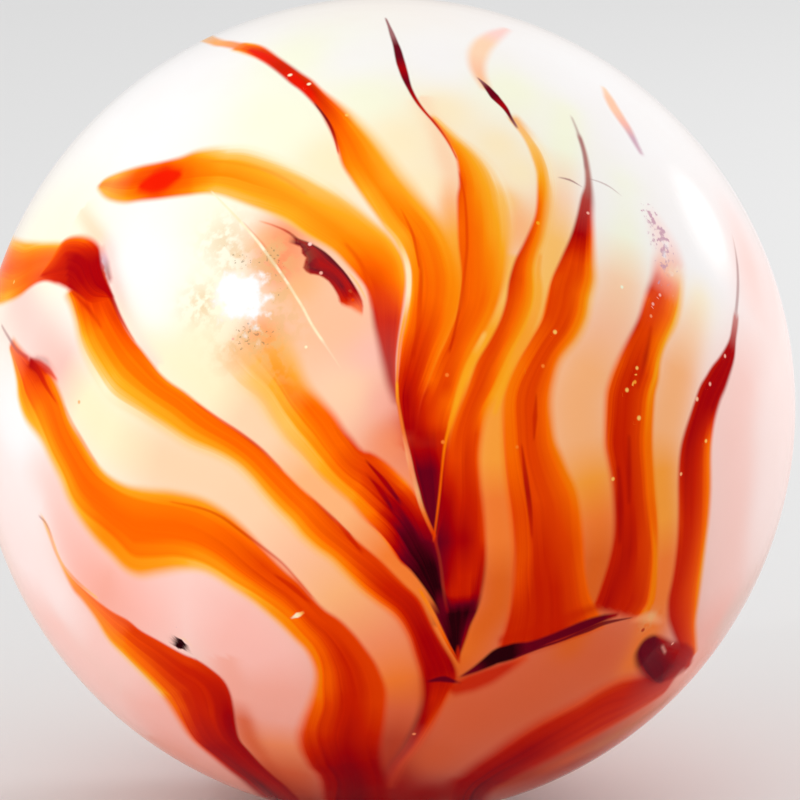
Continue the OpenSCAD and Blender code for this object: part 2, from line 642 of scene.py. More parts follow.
# The wide strands, from the lowest to the uppermost
RIBBONS = (
    Ribbon(
        "far_right",
        low="732,325 729,340 720,356 712,366 706,376 700,386 695,400 690,415 685,430 681,445 "
            "679,460 678,480 678,500 677,540 675,560 672,580 668,600 668,618 672,632 677,645 "
            "681,656",
        high="739,308 738,325 736,340 735,355 733,365 729,378 725,390 720,402 715,420 712,440 "
             "711,460 711,490 709,520 706,545 703,570 699,600 696,625 697,650 699,658",
        looks=(
            Look("736,322", "ccc", (5, 5), 0.8, haze=0.18),
            Look("730,348", "cccc", (5, 5)),
            Look("722,368", "rccccc", (5, 7)),
            Look("706,402", "rccccr", (5, 8)),
            Look("698,440", "rccrrdo", (7, 8)),
            Look("695,520", "frrrfdo", (8, 10)),
            Look("690,580", "rrrffda", (10, 10)),
            Look("684,640", "crrffdo", (10, 10)),
        ),
    ),
    Ribbon(
        "from_the_loop",
        low="510,121 520,133 527,145 532,158 536,172 537,190 535,215 525,240 515,260 509,280 "
            "506,300 500,320 490,340 478,360 472,375 465,395 459,410 452,430 448,450 445,470 "
            "443,490 440,510 437,530 437,550 440,570 443,590 446,606 452,632 457,657",
        high="518,117 535,138 545,152 552,170 554,190 551,215 546,240 541,255 538,270 539,290 "
             "536,310 526,335 516,355 506,380 498,396 488,412 483,430 480,455 481,480 483,500 "
             "485,520 486,540 486,560 484,580 480,600 476,612 470,625 466,637 462,648 458,658",
        looks=(
            Look("517,123", "ggg", (5, 11), haze=0.3),
            Look("531,143", "ggggyy", (5, 18)),
            Look("543,175", "gaaagyy", (5, 22)),
            Look("544,205", "ddooaag", (5, 22)),
            Look("535,240", "ffdooag", (5, 18)),
            Look("523,280", "rffdoag", (5, 15)),
            Look("521,305", "ffddoag", (5, 13)),
            Look("512,328", "ffddoaa", (5, 11)),
            Look("500,350", "fffdoaa", (5, 11)),
            Look("480,388", "dfffdaa", (5, 11)),
            Look("466,432", "dffffd", (5, 9)),
            Look("463,460", "ffffrfd", (5, 9)),
            Look("462,500", "ccrrrrf", (5, 9)),
            Look("462,540", "xxcccrf", (5, 7)),
            Look("463,575", "xcrrrrc", (5, 7)),
            Look("463,594", "crrrrcc", (5, 7)),
            Look("462,611", "kkkkkkx", (5, 7)),
            Look("458,640", "kkkkx", (5, 7)),
        ),
    ),
    Ribbon(
        "limb_patch",
        low="~14,350 ~-6,325 -4,306 10,301 20,296 30,288 38,283 48,281 60,284",
        high="~44,310 ~12,262 4,232 14,238 24,241 40,242 52,242 64,242",
        looks=(
            Look("~24,325", "gooddog", (9, 9)),
            Look("15,270", "gooddog", (9, 9)),
            Look("30,262", "oddddog", (9, 9)),
            Look("48,258", "ffdddog", (6, 9), haze=0.05),
        ),
    ),
    Ribbon(
        "back_limb",
        low="~-6,325 ~14,350 ~50,382 ~85,420 ~105,490 ~92,580 ~108,640",
        high="~12,262 ~44,310 ~80,340 ~118,390 ~128,490 ~105,580 ~110,638",
        looks=(
            Look("~15,310", "gooddog", (9, 9)),
            Look("~62,360", "aodddg", (9, 7)),
            Look("~100,400", "aodfr", (8, 3)),
            Look("~116,490", "afrr", (6, 3)),
            Look("~102,600", "xc", (4, 3), haze=0.25),
        ),
    ),
    Ribbon(
        "back_rise",
        low="214,44 203,42 ~196,58 ~168,105 ~165,160 ~185,215 ~225,275 ~250,330 ~250,380 "
            "~220,440 ~175,500 ~168,590 ~205,680 ~262,745 ~300,790",
        high="218,42 ~212,44 ~206,72 ~204,125 ~225,180 ~265,250 ~295,320 ~295,370 ~268,430 "
             "~238,500 ~232,580 ~262,660 ~305,730 ~340,770",
        looks=(
            Look("214,43", "gg", (5, 5), 0.8),
            Look("~203,62", "oddo", (5, 6)),
            Look("~188,115", "aodoag", (5, 12)),
            Look("~245,260", "aoddf", (5, 14)),
            Look("~272,350", "adfrf", (4, 8)),
            Look("~205,500", "aoddfr", (8, 4)),
            Look("~215,620", "adfrrc", (6, 4)),
            Look("~290,740", "rccx", (5, 5)),
        ),
    ),
    Ribbon(
        "back_right",
        low="~512,18 ~535,100 ~525,180 ~485,280 ~450,340 ~470,420 ~508,510 ~498,600 ~448,690 "
            "~415,775",
        high="~520,20 ~565,95 ~575,180 ~537,290 ~500,345 ~520,425 ~565,510 ~550,605 ~485,700 "
             "~425,778",
        looks=(
            Look("~516,25", "xx", (3, 3), haze=0.50),
            Look("~550,100", "xrda", (3, 10)),
            Look("~550,180", "fdoay", (3, 18)),
            Look("~510,285", "rfdoa", (3, 14)),
            Look("~478,345", "frfda", (3, 8)),
            Look("~495,425", "aofrf", (6, 5)),
            Look("~537,510", "aodfr", (6, 5)),
            Look("~525,600", "dfrrc", (5, 5)),
            Look("~465,695", "frcx", (5, 5)),
        ),
    ),
    Ribbon(
        "lowest_left",
        low="42,518 55,552 72,588 82,600 95,618 108,640 125,658 147,680 165,700 178,720 192,740 "
            "212,757 228,770 245,783 262,797 ~285,795 ~315,760 ~330,715",
        high="43,517 50,530 65,568 85,590 110,610 128,620 140,630 158,640 185,655 198,660 215,672 "
             "225,682 231,695 234,710 236,725 240,740 250,752 262,765 275,777 290,790 305,806 "
             "~330,790 ~350,755 ~360,715",
        looks=(
            Look("57,553", "gg", (8, 5), haze=0.2),
            Look("75,586", "ooo", (10, 5), haze=0.15),
            Look("125,640", "goodfff", (13, 5)),
            Look("180,675", "gdfrrrf", (16, 5)),
            Look("208,712", "odrrrcc", (16, 5)),
            Look("220,748", "dccccc", (16, 5)),
            Look("262,785", "ccxccc", (16, 7)),
            Look("~345,735", "frcxcr", (16, 11)),
        ),
    ),
    Ribbon(
        "upper_left",
        low="98,190 104,197 112,201 125,203 140,201 160,199 184,196 214,194 245,204 281,219 "
            "306,235 332,250 348,266 357,276 366,288 370,300 372,314 374,327 377,340 380,354 "
            "383,368 387,384 394,402",
        high="98,184 106,178 120,172 140,166 160,162 180,157 200,150 240,147 270,155 300,169 "
             "330,186 350,201 370,218 388,234 398,248 404,262 406,280 404,300 401,320 398,340 "
             "396,360 396,380 397,400",
        looks=(
            Look("108,190", "aaooaa", (8, 8), 0.95),
            Look("130,188", "aoddfdo", (9, 9)),
            Look("160,182", "dfffffd", (8, 8)),
            Look("220,172", "gaooagy", (8, 16)),
            Look("300,205", "gaoaagy", (8, 16)),
            Look("348,232", "aoooaag", (7, 10)),
            Look("385,280", "dffddoa", (5, 5)),
            Look("388,320", "crrrrrf", (9, 4), haze=0.03),
            Look("389,365", "cccr", (13, 3), haze=0.1),
        ),
    ),
    Ribbon(
        "back_far_right",
        low="697,650 ~660,690 ~625,620 ~602,550 ~622,460 ~655,380 ~655,300 ~622,215 ~588,155",
        high="677,645 ~700,680 ~680,620 ~655,545 ~672,460 ~700,385 ~690,290 ~640,205 ~592,152",
        looks=(
            Look("~675,680", "drd", (8, 8), 0.6, haze=0.12),
            Look("~650,620", "drrd", (6, 6), haze=0.04),
            Look("~628,548", "afrfd", (6, 5)),
            Look("~648,460", "aodfd", (6, 6)),
            Look("~678,380", "aodda", (5, 8)),
            Look("~672,295", "ofrdo", (4, 8)),
            Look("~630,210", "xrx", (3, 5), haze=0.33),
            Look("~595,160", "xx", (3, 3), 0.5, haze=0.50),
        ),
    ),
    Ribbon(
        "from_the_crest",
        low="430,118 440,131 448,143 455,155 458,168 459,185 457,200 458,240 461,270 461,300 "
            "457,315 451,329 445,343 438,357 432,372 427,385 421,400 417,418 415,436",
        high="438,118 450,129 460,138 475,150 490,165 500,180 508,200 511,225 510,250 505,281 "
             "494,314 478,345 470,362 463,380 457,400 450,420 446,440",
        looks=(
            Look("440,124", "fdoggg", (5, 6), 0.9),
            Look("456,145", "oooaagg", (5, 13)),
            Look("480,180", "fdoaagy", (5, 21)),
            Look("485,230", "dddoaag", (5, 18)),
            Look("482,300", "fddddoo", (4, 6)),
            Look("462,345", "dffddoo", (4, 5)),
            Look("445,385", "ddfffdo", (4, 4)),
            Look("438,398", "rfffddo", (5, 4)),
            Look("432,432", "ccrfffd", (5, 4)),
        ),
    ),
    Ribbon(
        "back_middle",
        low="~378,4 ~398,80 ~395,160 ~355,245 ~322,325 ~335,400 ~372,490 ~375,580 ~342,670 "
            "~315,770",
        high="~390,6 ~425,75 ~447,160 ~410,250 ~372,325 ~378,400 ~425,490 ~438,580 ~405,670 "
             "~380,770",
        looks=(
            Look("~385,10", "xx", (3, 3), haze=0.50),
            Look("~410,80", "xcrd", (3, 10), haze=0.12),
            Look("~420,160", "doaay", (3, 24)),
            Look("~380,250", "doaay", (3, 20)),
            Look("~350,325", "fdooa", (3, 14)),
            Look("~357,400", "fddoa", (3, 10)),
            Look("~402,490", "frddo", (4, 8)),
            Look("~405,580", "rrffd", (5, 6)),
            Look("~372,670", "rccrf", (5, 5)),
        ),
    ),
    Ribbon(
        "middle_left",
        low="47,280 58,287 67,299 74,318 79,340 87,360 98,380 112,398 140,415 165,430 190,445 "
            "215,455 235,466 250,480 262,495 275,510 290,525 300,537 315,550 330,560 345,575 "
            "360,590 375,602 395,617 407,635 414,655 420,675 422,695 419,712 412,730 402,748 "
            "390,764 378,785",
        high="113,298 118,312 124,325 132,338 142,350 152,363 160,373 170,382 185,392 200,404 "
             "220,419 240,432 260,447 275,462 288,475 300,487 315,500 330,515 345,530 360,543 "
             "380,560 395,575 405,585 420,600 432,625 443,645 453,662 457,678 449,694 441,710 "
             "431,728 418,748 404,766 394,788",
        looks=(
            Look("90,300", "adffrff", (13, 5)),
            Look("98,330", "gaoddff", (16, 5)),
            Look("118,372", "ygaoddd", (19, 5)),
            Look("160,405", "gaaoddo", (19, 5)),
            Look("235,448", "gaodddd", (16, 5)),
            Look("300,512", "gaodddd", (16, 5)),
            Look("352,558", "aodffff", (13, 5)),
            Look("385,588", "odrrrrf", (11, 5)),
            Look("423,640", "frccccr", (10, 5)),
            Look("436,672", "rcccccc", (10, 6)),
            Look("434,698", "ccrrrf", (12, 8)),
            Look("422,722", "xccrff", (12, 12)),
            Look("408,746", "xccrff", (14, 14), 0.8, haze=0.1),
            Look("386,782", "crff", (14, 14), 0.3, haze=0.1),
        ),
    ),
    Ribbon(
        "broad_right",
        low="662,226 656,250 652,275 645,295 638,318 627,340 617,360 609,380 605,400 604,440 "
            "607,460 611,480 613,500 614,520 613,540 609,560 603,580 596,600 590,616",
        high="668,224 680,248 684,265 684,280 683,295 681,310 677,325 670,338 665,348 661,362 "
             "659,380 655,400 653,440 655,480 658,520 658,560 655,600 645,617",
        looks=(
            # The tip fades out and hazes to rose under the painted highlight at the upper right.
            Look("667,238", "gg", (18, 18), 0.0, haze=0.9),
            Look("668,250", "gg", (18, 18), 0.15, haze=0.8),
            Look("671,266", "dgg", (18, 16), 0.45, haze=0.3),
            Look("669,283", "ffddog", (13, 13), 0.8, haze=0.12),
            Look("665,298", "rffdog", (11, 11), haze=0.04),
            Look("661,310", "dfffdog", (10, 10), haze=0.02),
            Look("648,335", "rfffdoa", (8, 7)),
            Look("635,370", "dfrrfda", (10, 7)),
            Look("630,440", "drrrfdo", (10, 7)),
            Look("634,500", "rrrrfdo", (10, 7)),
            Look("635,550", "rrcrffo", (8, 7)),
            Look("625,600", "rcrrrfo", (6, 5)),
        ),
    ),
    Ribbon(
        "along_the_foot",
        low="664,672 650,674 625,678 600,689 580,701 560,711 540,721 520,733 505,743 490,754 "
            "475,764 460,776 448,790 ~440,800 ~410,775 ~390,740",
        high="684,679 658,698 630,716 601,733 571,749 540,765 508,781 488,796 ~470,790 ~440,765 "
             "~420,735",
        looks=(
            Look("655,684", "xcrrf", (14, 14), 0.9),
            Look("620,700", "frrrrrf", (22, 22)),
            Look("584,722", "frrrrrf", (30, 26)),
            Look("528,750", "rrccccrr", (30, 26)),
            Look("474,782", "ccccxcc", (24, 18)),
            Look("~430,765", "rccxcr", (6, 6)),
        ),
    ),
    Ribbon(
        "from_the_blush",
        low="200,343 215,360 240,385 258,400 270,420 285,440 300,455 320,477 335,490 350,503 "
            "365,520 380,535 395,555 400,562 410,570 420,582 428,593 437,607 443,620",
        high="272,318 290,345 305,380 322,400 335,415 345,430 352,438 362,450 372,453 386,462 "
             "400,475 412,488 420,502 427,518 434,538 438,555 441,570 443,585 446,605 448,622",
        looks=(
            Look("236,330", "ggg", (26, 26), 0.0, haze=0.4),
            Look("246,346", "yggag", (28, 26), 0.4, haze=0.3),
            Look("257,362", "yggaaag", (28, 24), 0.75, haze=0.1),
            Look("282,385", "ggaaooaa", (24, 19), 0.95),
            Look("300,415", "ggaoddo", (18, 13)),
            Look("335,450", "gaodddf", (13, 10)),
            Look("358,480", "aodffff", (10, 6)),
            Look("382,505", "odfccfo", (8, 6)),
            Look("405,535", "ocxkxcc", (5, 5)),
            Look("422,570", "xkkkkkx", (4, 5)),
            Look("438,598", "kkkkx", (3, 4)),
        ),
    ),
    Ribbon(
        "blot",
        low="40,277 50,281 62,286 75,293 90,302 104,300 114,298",
        high="42,272 50,261 58,248 64,240 73,236 85,236 95,241 101,250 102,263 104,275 109,286 "
             "114,297",
        looks=(
            Look("50,272", "frrrffd", (8, 7)),
            Look("72,265", "rccccfo", (6, 9)),
            Look("90,268", "rcccccc", (6, 7)),
            Look("106,293", "frrccc", (6, 5)),
        ),
    ),
    Ribbon(
        "wide_bend",
        low="8,345 12,360 16,380 18,400 25,420 40,440 50,460 60,480 68,500 80,520 95,540 "
            "110,555 125,570 140,576 160,573 180,570 200,571 215,577 230,587 250,600 265,612 "
            "280,625 295,640 305,650 312,662 315,675 313,690 308,705 302,720 298,735 300,750 "
            "308,765 322,790 ~330,790 ~300,740 ~290,700",
        high="16,342 28,356 38,361 46,368 52,375 57,385 63,400 70,420 82,440 94,459 107,474 "
             "126,485 148,489 172,491 202,498 225,511 244,527 258,542 272,557 286,571 300,583 "
             "312,597 325,610 340,620 355,635 365,648 375,662 382,677 386,690 386,705 384,725 "
             "381,745 382,765 388,795 ~388,770 ~372,735 ~350,700",
        looks=(
            Look("14,350", "gdddo", (6, 9), haze=0.2),
            Look("28,372", "gadffrr", (10, 11)),
            Look("42,410", "gaodddo", (13, 9)),
            Look("75,470", "gaodddda", (16, 8)),
            Look("112,520", "aooddddoa", (16, 10)),
            Look("150,535", "aooddddoa", (16, 12)),
            Look("200,540", "gaoddddoa", (13, 12)),
            Look("255,575", "gaodffffd", (12, 9)),
            Look("295,610", "aooffff", (10, 7)),
            Look("345,655", "odfrrff", (10, 7)),
            Look("345,700", "odrrrff", (13, 9)),
            Look("342,735", "dfrrcrr", (16, 11)),
            Look("345,770", "rccxccc", (13, 13)),
            Look("~350,740", "cxxxcr", (10, 13)),
        ),
    ),
    Ribbon(
        "point_of_the_fold",
        low="428,594 432,612 440,628 447,642 452,650 457,659",
        high="482,594 476,612 470,625 466,637 462,648 458,659",
        looks=(
            Look("455,600", "xkrcxxc", (3, 3), 0.0),
            Look("455,613", "xxkkkkx", (3, 3)),
            Look("456,640", "xkkkkxc", (3, 3)),
        ),
    ),
    Ribbon(
        "over_the_top",
        low="238,52 260,60 275,70 290,83 300,90 310,100 320,112 326,123 332,135 337,148 342,165 "
            "350,178 360,193 372,210 385,228 395,240 402,254 406,268 409,290 406,315 401,340 "
            "398,370 396,395 399,412 403,432",
        high="238,42 260,45 280,58 300,72 312,80 325,92 350,112 370,132 385,150 400,170 420,195 "
             "440,220 452,242 459,265 461,285 459,302 454,319 448,334 441,349 435,364 429,380 "
             "423,396 419,412 416,434",
        looks=(
            Look("244,47", "godddog", (8, 6)),
            Look("258,53", "offrffd", (7, 6)),
            Look("285,71", "rrrrrr", (6, 6)),
            Look("312,93", "rrrrrfd", (5, 6)),
            Look("340,130", "fdddoag", (5, 17)),
            Look("380,185", "aaooaag", (7, 22)),
            Look("412,230", "aaodoaa", (7, 17)),
            Look("435,300", "addddoo", (5, 6)),
            Look("427,335", "odfffdo", (5, 5)),
            Look("412,375", "frrrrfo", (4, 4)),
            Look("408,395", "rrccrrf", (4, 4)),
            Look("409,426", "cccccc", (4, 4)),
        ),
    ),
    Ribbon(
        "crescent",
        low="296,245 301,247 302,254 306,258 303,268 310,274 318,275 327,280 333,287 338,296 "
            "341,304 352,308 359,313",
        high="296,238 308,242 318,247 328,254 338,264 346,273 353,283 359,293 363,303 363,311",
        looks=(
            Look("301,246", "cxxcx", (3, 3), haze=0.03),
            Look("320,263", "cxccxx", (3, 2), haze=0.02),
            Look("345,284", "ccxccx", (3, 2), haze=0.02),
            Look("352,296", "frrcc", (5, 3)),
            Look("360,308", "dddff", (7, 3), 0.85),
        ),
    ),
    Ribbon(
        "fold",
        low="397,404 400,416 404,434 408,455 412,475 416,490 420,505 426,518 434,532",
        high="454,404 450,420 448,440 447,455 446,480 445,500 442,517 438,532",
        looks=(
            Look("427,408", "rrrffff", (4, 6), 0.0),
            Look("427,420", "ccrrfff", (4, 6), 0.35),
            Look("427,436", "cccccrr", (4, 6), 0.8),
            Look("427,450", "cccccrr", (4, 6)),
            Look("428,470", "cxxxxcr", (4, 6)),
            Look("430,505", "cxxxxcc", (4, 5)),
        ),
    ),
    Ribbon(
        "right_of_the_crest",
        low="578,138 582,150 584,163 585,184 581,197 577,215 571,235 560,260 551,280 546,300 "
            "541,320 530,340 518,360 508,380 503,400 502,430 503,460 506,490 510,520 513,550 "
            "513,580 511,600 507,620 501,640",
        high="582,138 586,150 589,163 593,195 593,215 594,235 595,260 596,280 592,300 588,320 "
             "578,340 562,360 555,380 552,400 553,420 556,440 562,455 568,470 575,485 579,500 "
             "582,520 584,545 585,570 588,588 592,600 598,612",
        looks=(
            Look("583,150", "xx", (5, 5), 0.9, haze=0.45),
            Look("587,180", "xxx", (5, 6), haze=0.4),
            Look("586,200", "cccc", (5, 10), haze=0.12),
            Look("582,235", "cccccrdo", (5, 10)),
            Look("576,262", "rffffoa", (5, 13)),
            Look("572,290", "dfffdog", (5, 13)),
            Look("562,325", "dffffoa", (5, 13)),
            Look("536,370", "odfffdo", (7, 13)),
            Look("528,410", "odfffdo", (9, 13)),
            Look("532,450", "odfffdo", (11, 10)),
            Look("542,500", "dffffdo", (11, 8)),
            Look("548,550", "dfrrffd", (11, 8)),
            Look("550,590", "drrrrfd", (9, 6)),
            Look("550,618", "frrrrfd", (9, 6)),
        ),
    ),
    Ribbon(
        "cut_mark",
        low="655,634 646,638 639,646 635,656 637,667 643,676 652,682 661,684",
        high="655,634 666,638 677,643 688,650 692,660 688,669 677,677 661,684",
        looks=(
            Look("655,640", "xxxxcc", (10, 8)),
            Look("657,658", "xxxxxccr", (13, 12)),
            Look("659,677", "cxxccr", (12, 12)),
        ),
    ),
)

# The thin strands, which lie over the ribbons, the softer of them under the sharper
THREADS = (
    Thread("glow_under_the_lens", "452,690 468,684 486,677 505,668 526,657", (16, 24, 22, 14, 6),
           "rrrrf", 14, 0.9),
    Thread("tip_low_left", "40,517 45,522 50,532 53,545 57,555 63,565 71,575 81,585 96,597",
           (2, 4, 5, 3), "meqsg", 4, 0.8),
    Thread("tip_of_the_bend", "2,326 9,338 17,350 28,358", (2, 4, 4), "mmr", 4, 0.7),
    Thread("red_in_the_bend", "30,363 38,371 46,386 56,402", (9, 7, 2), "crf", 4),
    Thread("red_on_the_bend", "31,360 40,365 49,371 56,379", (4, 9, 8, 3), "crrf", 5, 0.85),
    # A soft grey-mauve painted shade in the bend
    Thread("shade_on_the_bend", "36,357 46,361 56,372", (3, 6, 3), "mme", 8, 0.5),
    Thread("brown_by_the_bend", "65,408 74,426 84,443 96,463", (2, 3, 2), "dff", 5, 0.5),
    Thread("line_in_the_bend", "172,502 200,508 220,516 238,529 262,547 285,566 312,597",
           (1, 3, 3, 2), "frf", 3.5, 0.7),
    Thread("red_in_the_middle", "278,577 292,587 308,601", (3, 6, 3), "rrr", 3, 0.7),
    Thread("chip", "294,617 297,615.5 301,613.5", (2, 6, 3), "yyg", 2),
    Thread("open_bubble", "176,642 180,644.4 184.5,647", (13, 15, 9), "kkk", 1.5),
    Thread("glint_of_the_bubble", "182,638 186,640 189,643", (1, 2.5, 1), "ppp", 2, 0.7),
    Thread("dark_in_the_middle_1", "72,292 85,305 93,315 101,327", (3, 5, 3), "rrf", 5, 0.8),
    Thread("dark_in_the_middle_2", "102,280 107,290 113,301 119,315 126,328 134,341",
           (3, 5, 4, 2), "ccrb", 4, 0.9),
    # Painted shade along the blot's right edge
    Thread("shade_by_the_blot", "102,248 105,262 110,280", (6, 9, 5), "eLmc", 7, 0.75),
    Thread("rim_of_the_middle_1", "195,403 220,420 240,433 262,450 280,468", (2, 3, 3, 2),
           "ffrf", 3.5, 0.7),
    Thread("red_low_in_the_middle", "335,520 348,535 360,550", (2, 5, 3), "frr", 3, 0.9),
    Thread("rim_of_the_middle_2", "312,499 330,516 350,535", (2, 4, 2), "frr", 4, 0.8),
    Thread("streak_left_of_fold_1", "368,463 384,481 399,501", (2, 5, 3), "ccx", 2.5),
    Thread("streak_left_of_fold_2", "371,479 381,491 391,507", (2, 5, 3), "ccx", 3),
    Thread("wedge_left_of_fold", "404,440 409,460 413,478", (1, 4, 4), "qqj", 3, 0.8),
    Thread("line_in_the_upper", "200,160 240,164 275,174 305,192", (2, 3, 2), "ddd", 5, 0.3),
    Thread("red_in_the_upper", "140,187 152,183 165,179 180,174", (10, 27, 28, 12), "RRRR",
           13, 0.95),
    Thread("brown_in_the_upper", "346,244 360,262 368,284 372,305", (2, 4, 3), "fff", 5, 0.6),
    Thread("pale_between", "384,224 396,238 405,256 409,275 408,300 404,320 400,340 398,360 "
           "397,380 397,400", (2, 4, 5, 4, 3, 2, 2, 2), "ggyyaooo", 2.5, 0.9),
    Thread("line_to_the_crescent", "263,222 275,226 288,232 298,240", (1.5, 2, 3), "srx",
           2.5, 0.8),
    Thread("line_from_the_crescent", "350,274 358,284 365,297", (1.5, 2, 1), "ggg", 2, 0.6),
    Thread("start_over_the_top", "203,38 216,42 228,44 242,47", (6, 11, 12, 12), "gqhj", 7, 0.9),
    Thread("edge_over_the_top", "316,105 323,114 330,125 335,138 338,151", (1.5, 2.5, 3, 2),
           "xxcf", 2, 0.9),
    Thread("red_over_the_top", "250,50 268,59 285,71 300,84 314,98 324,112", (5, 11, 11, 10, 7, 3),
           "RRrRRf", 6, 0.85),
    Thread("line_over_the_top_1", "403,213 412,232 416,248 419,266", (2, 3, 2), "dff", 2, 0.8),
    Thread("line_over_the_top_2", "417,240 421,270 420,300 418,330 413,356", (2, 4, 5, 4),
           "dffr", 3, 0.8),
    Thread("dark_from_the_crest", "386,19 392,34 397,48 400,60 403,70 407,82 412,93 418,103 "
           "425,112 433,121 441,131 449,143 456,157",
           (2, 3, 5, 6, 8, 9, 8, 5, 4, 3, 2.5, 2, 1.5), "mmmxxcxcrrff", 2.5),
    Thread("line_from_the_crest", "460,175 465,200 467,240 466,260 463,285 459,310 455,330 "
           "450,350", (2, 3, 3, 2), "fffr", 2.5, 0.8),
    Thread("light_by_the_loop", "484,335 470,362 463,380 457,400 450,424", (4, 6, 6, 4),
           "gaaao", 4, 0.9),
    Thread("pale_loop", "507,29 492,37 481,48 477,61 479,74 486,88", (7, 16, 20, 20, 15, 8),
           "nnppzq", 12, 0.9),
    Thread("dark_from_the_loop", "479,79 486,86 495,97 505,108 511,118 516,126",
           (2, 7, 10, 7, 4, 3), "mxxcxm", 2.5),
    Thread("light_right_of_loop", "540,256 538,272 539,290 536,310 526,335 516,355 506,380 "
           "500,398 495,412", (4, 7, 8, 8, 6, 4), "hahhaa", 5, 0.7),
    Thread("left_line_of_the_fold", "397,385 398,402 403,430 409,455 413,475 417,490 421,505 "
           "427,520 433,533", (2, 3, 3, 4, 4, 3), "ajjssqjf", 2.5, 0.85),
    Thread("seam_of_the_fold", "433,535 438,550 441,567 443,585 445,600 447,610", (2, 2.5, 3, 3),
           "riiic", 3, 0.4),
    Thread("right_line_of_the_fold", "457,402 450,424 445,445 442,470 440,490 437,515 434,538",
           (3, 3, 2, 2, 2), "aoddf", 2.5, 0.9),
    Thread("left_line_of_the_point", "421,592 432,612 440,628 447,642 452,651 457,659",
           (3, 4, 3, 2), "ojdr", 2.5),
    Thread("dark_by_the_point", "438,588 442,600 446,612", (6, 11, 7), "kxx", 5, 0.95),
    Thread("red_at_the_point", "458,648 458,654 459,661", (2, 5, 2), "rr", 4, 0.8),
    Thread("tip_right_of_crest", "572,118 577,130 581,142 584,155 586,168", (2, 4, 3), "mm",
           4, 0.6),
    Thread("dark_right_of_crest_1", "536,398 535,418 534,437", (2, 5, 2), "rr", 3, 0.8),
    Thread("dark_right_of_crest_2", "522,448 526,480 530,510 532,537", (2, 5, 5, 2), "rcr", 3,
           0.9),
    # The broad ribbon's upper piece, paled by painted highlight
    Thread("upper_piece", "604,88 612,104 620,117 628,129 635,142 641,153", (5, 13, 15, 13, 9, 5),
           "pzzeLL", 8, 0.85),
    Thread("dark_in_the_broad_1", "618,468 620,500 620,542", (3, 7, 3), "ccc", 6, 0.7),
    Thread("dark_in_the_broad_2", "629,438 629,470 629,502", (3, 5, 3), "ccc", 6, 0.6),
    Thread("dark_in_the_broad_3", "651,328 646,355 638,387", (3, 6, 3), "rcr", 6, 0.6),
    Thread("tip_of_the_far_right", "733,238 737,262 738,285 736,312", (2, 4, 5, 5), "Dmmm",
           3.5, 0.6),
    # A pale wash over the broad ribbon's tip, a painted highlight
    Thread("highlight_on_the_broad", "650,208 658,228 666,246 673,266", (8, 22, 32, 26), "lnne",
           20, 0.5),
    Thread("shade_over_the_seam", "500,640 530,632 555,623 580,613 600,606", (8, 12, 12, 8),
           "rrrr", 10, 0.6),
    Thread("lens", "462,676 476,669 488,662 498,656 508,653 518,650 530,647 545,641 560,635 "
           "575,629 590,623 604,618 616,615", (2, 8, 14, 20, 20, 14, 11, 10, 11, 12, 11, 8, 4),
           "xxkkkxxxxxxxc", 5),
    Thread("seam", "516,657 530,651 545,646 560,641 575,635 590,629 602,624 614,621 630,618",
           (2, 3, 3, 3, 4, 6, 5, 3, 1), "xxxxxxxx", 2.5, 0.9),
    Thread("spot_by_the_lens", "430,681 443,679 456,682", (3, 8, 3), "xx", 4),
    Thread("cap_over_the_cut", "634,620 648,617 662,622", (5, 12, 6), "sqs", 8, 0.8),
    Thread("shade_by_the_cut", "674,645 684,650 690,657 687,667", (8, 13, 13, 6), "cccr", 7, 0.8),
    Thread("glint_of_the_cut", "663,647 666,653", (3, 3), "ee", 4, 0.6),
    Thread("scratch", "213,193 240,221 255,238 270,258 283,276 295,295 303,308 312,325 322,340",
           (1.5, 2.5, 3, 2.5, 2.5), "yyvyy", 2, 0.9),
    Thread("scratch_on", "322,340 330,352 338,364", (2, 1), "vy", 2, 0.3),
    Thread("shade_of_the_scratch", "245,224 268,250 287,279", (1, 2, 1), "ttt", 2, 0.4),
    Thread("fibre", "562,178 570,180 579,185", (1.5, 2.5, 1), "mm", 2, 0.8),
    Thread("faint_fibre", "590,179 600,182 610,187 618,193", (1, 2, 1), "mm", 2, 0.5),
)
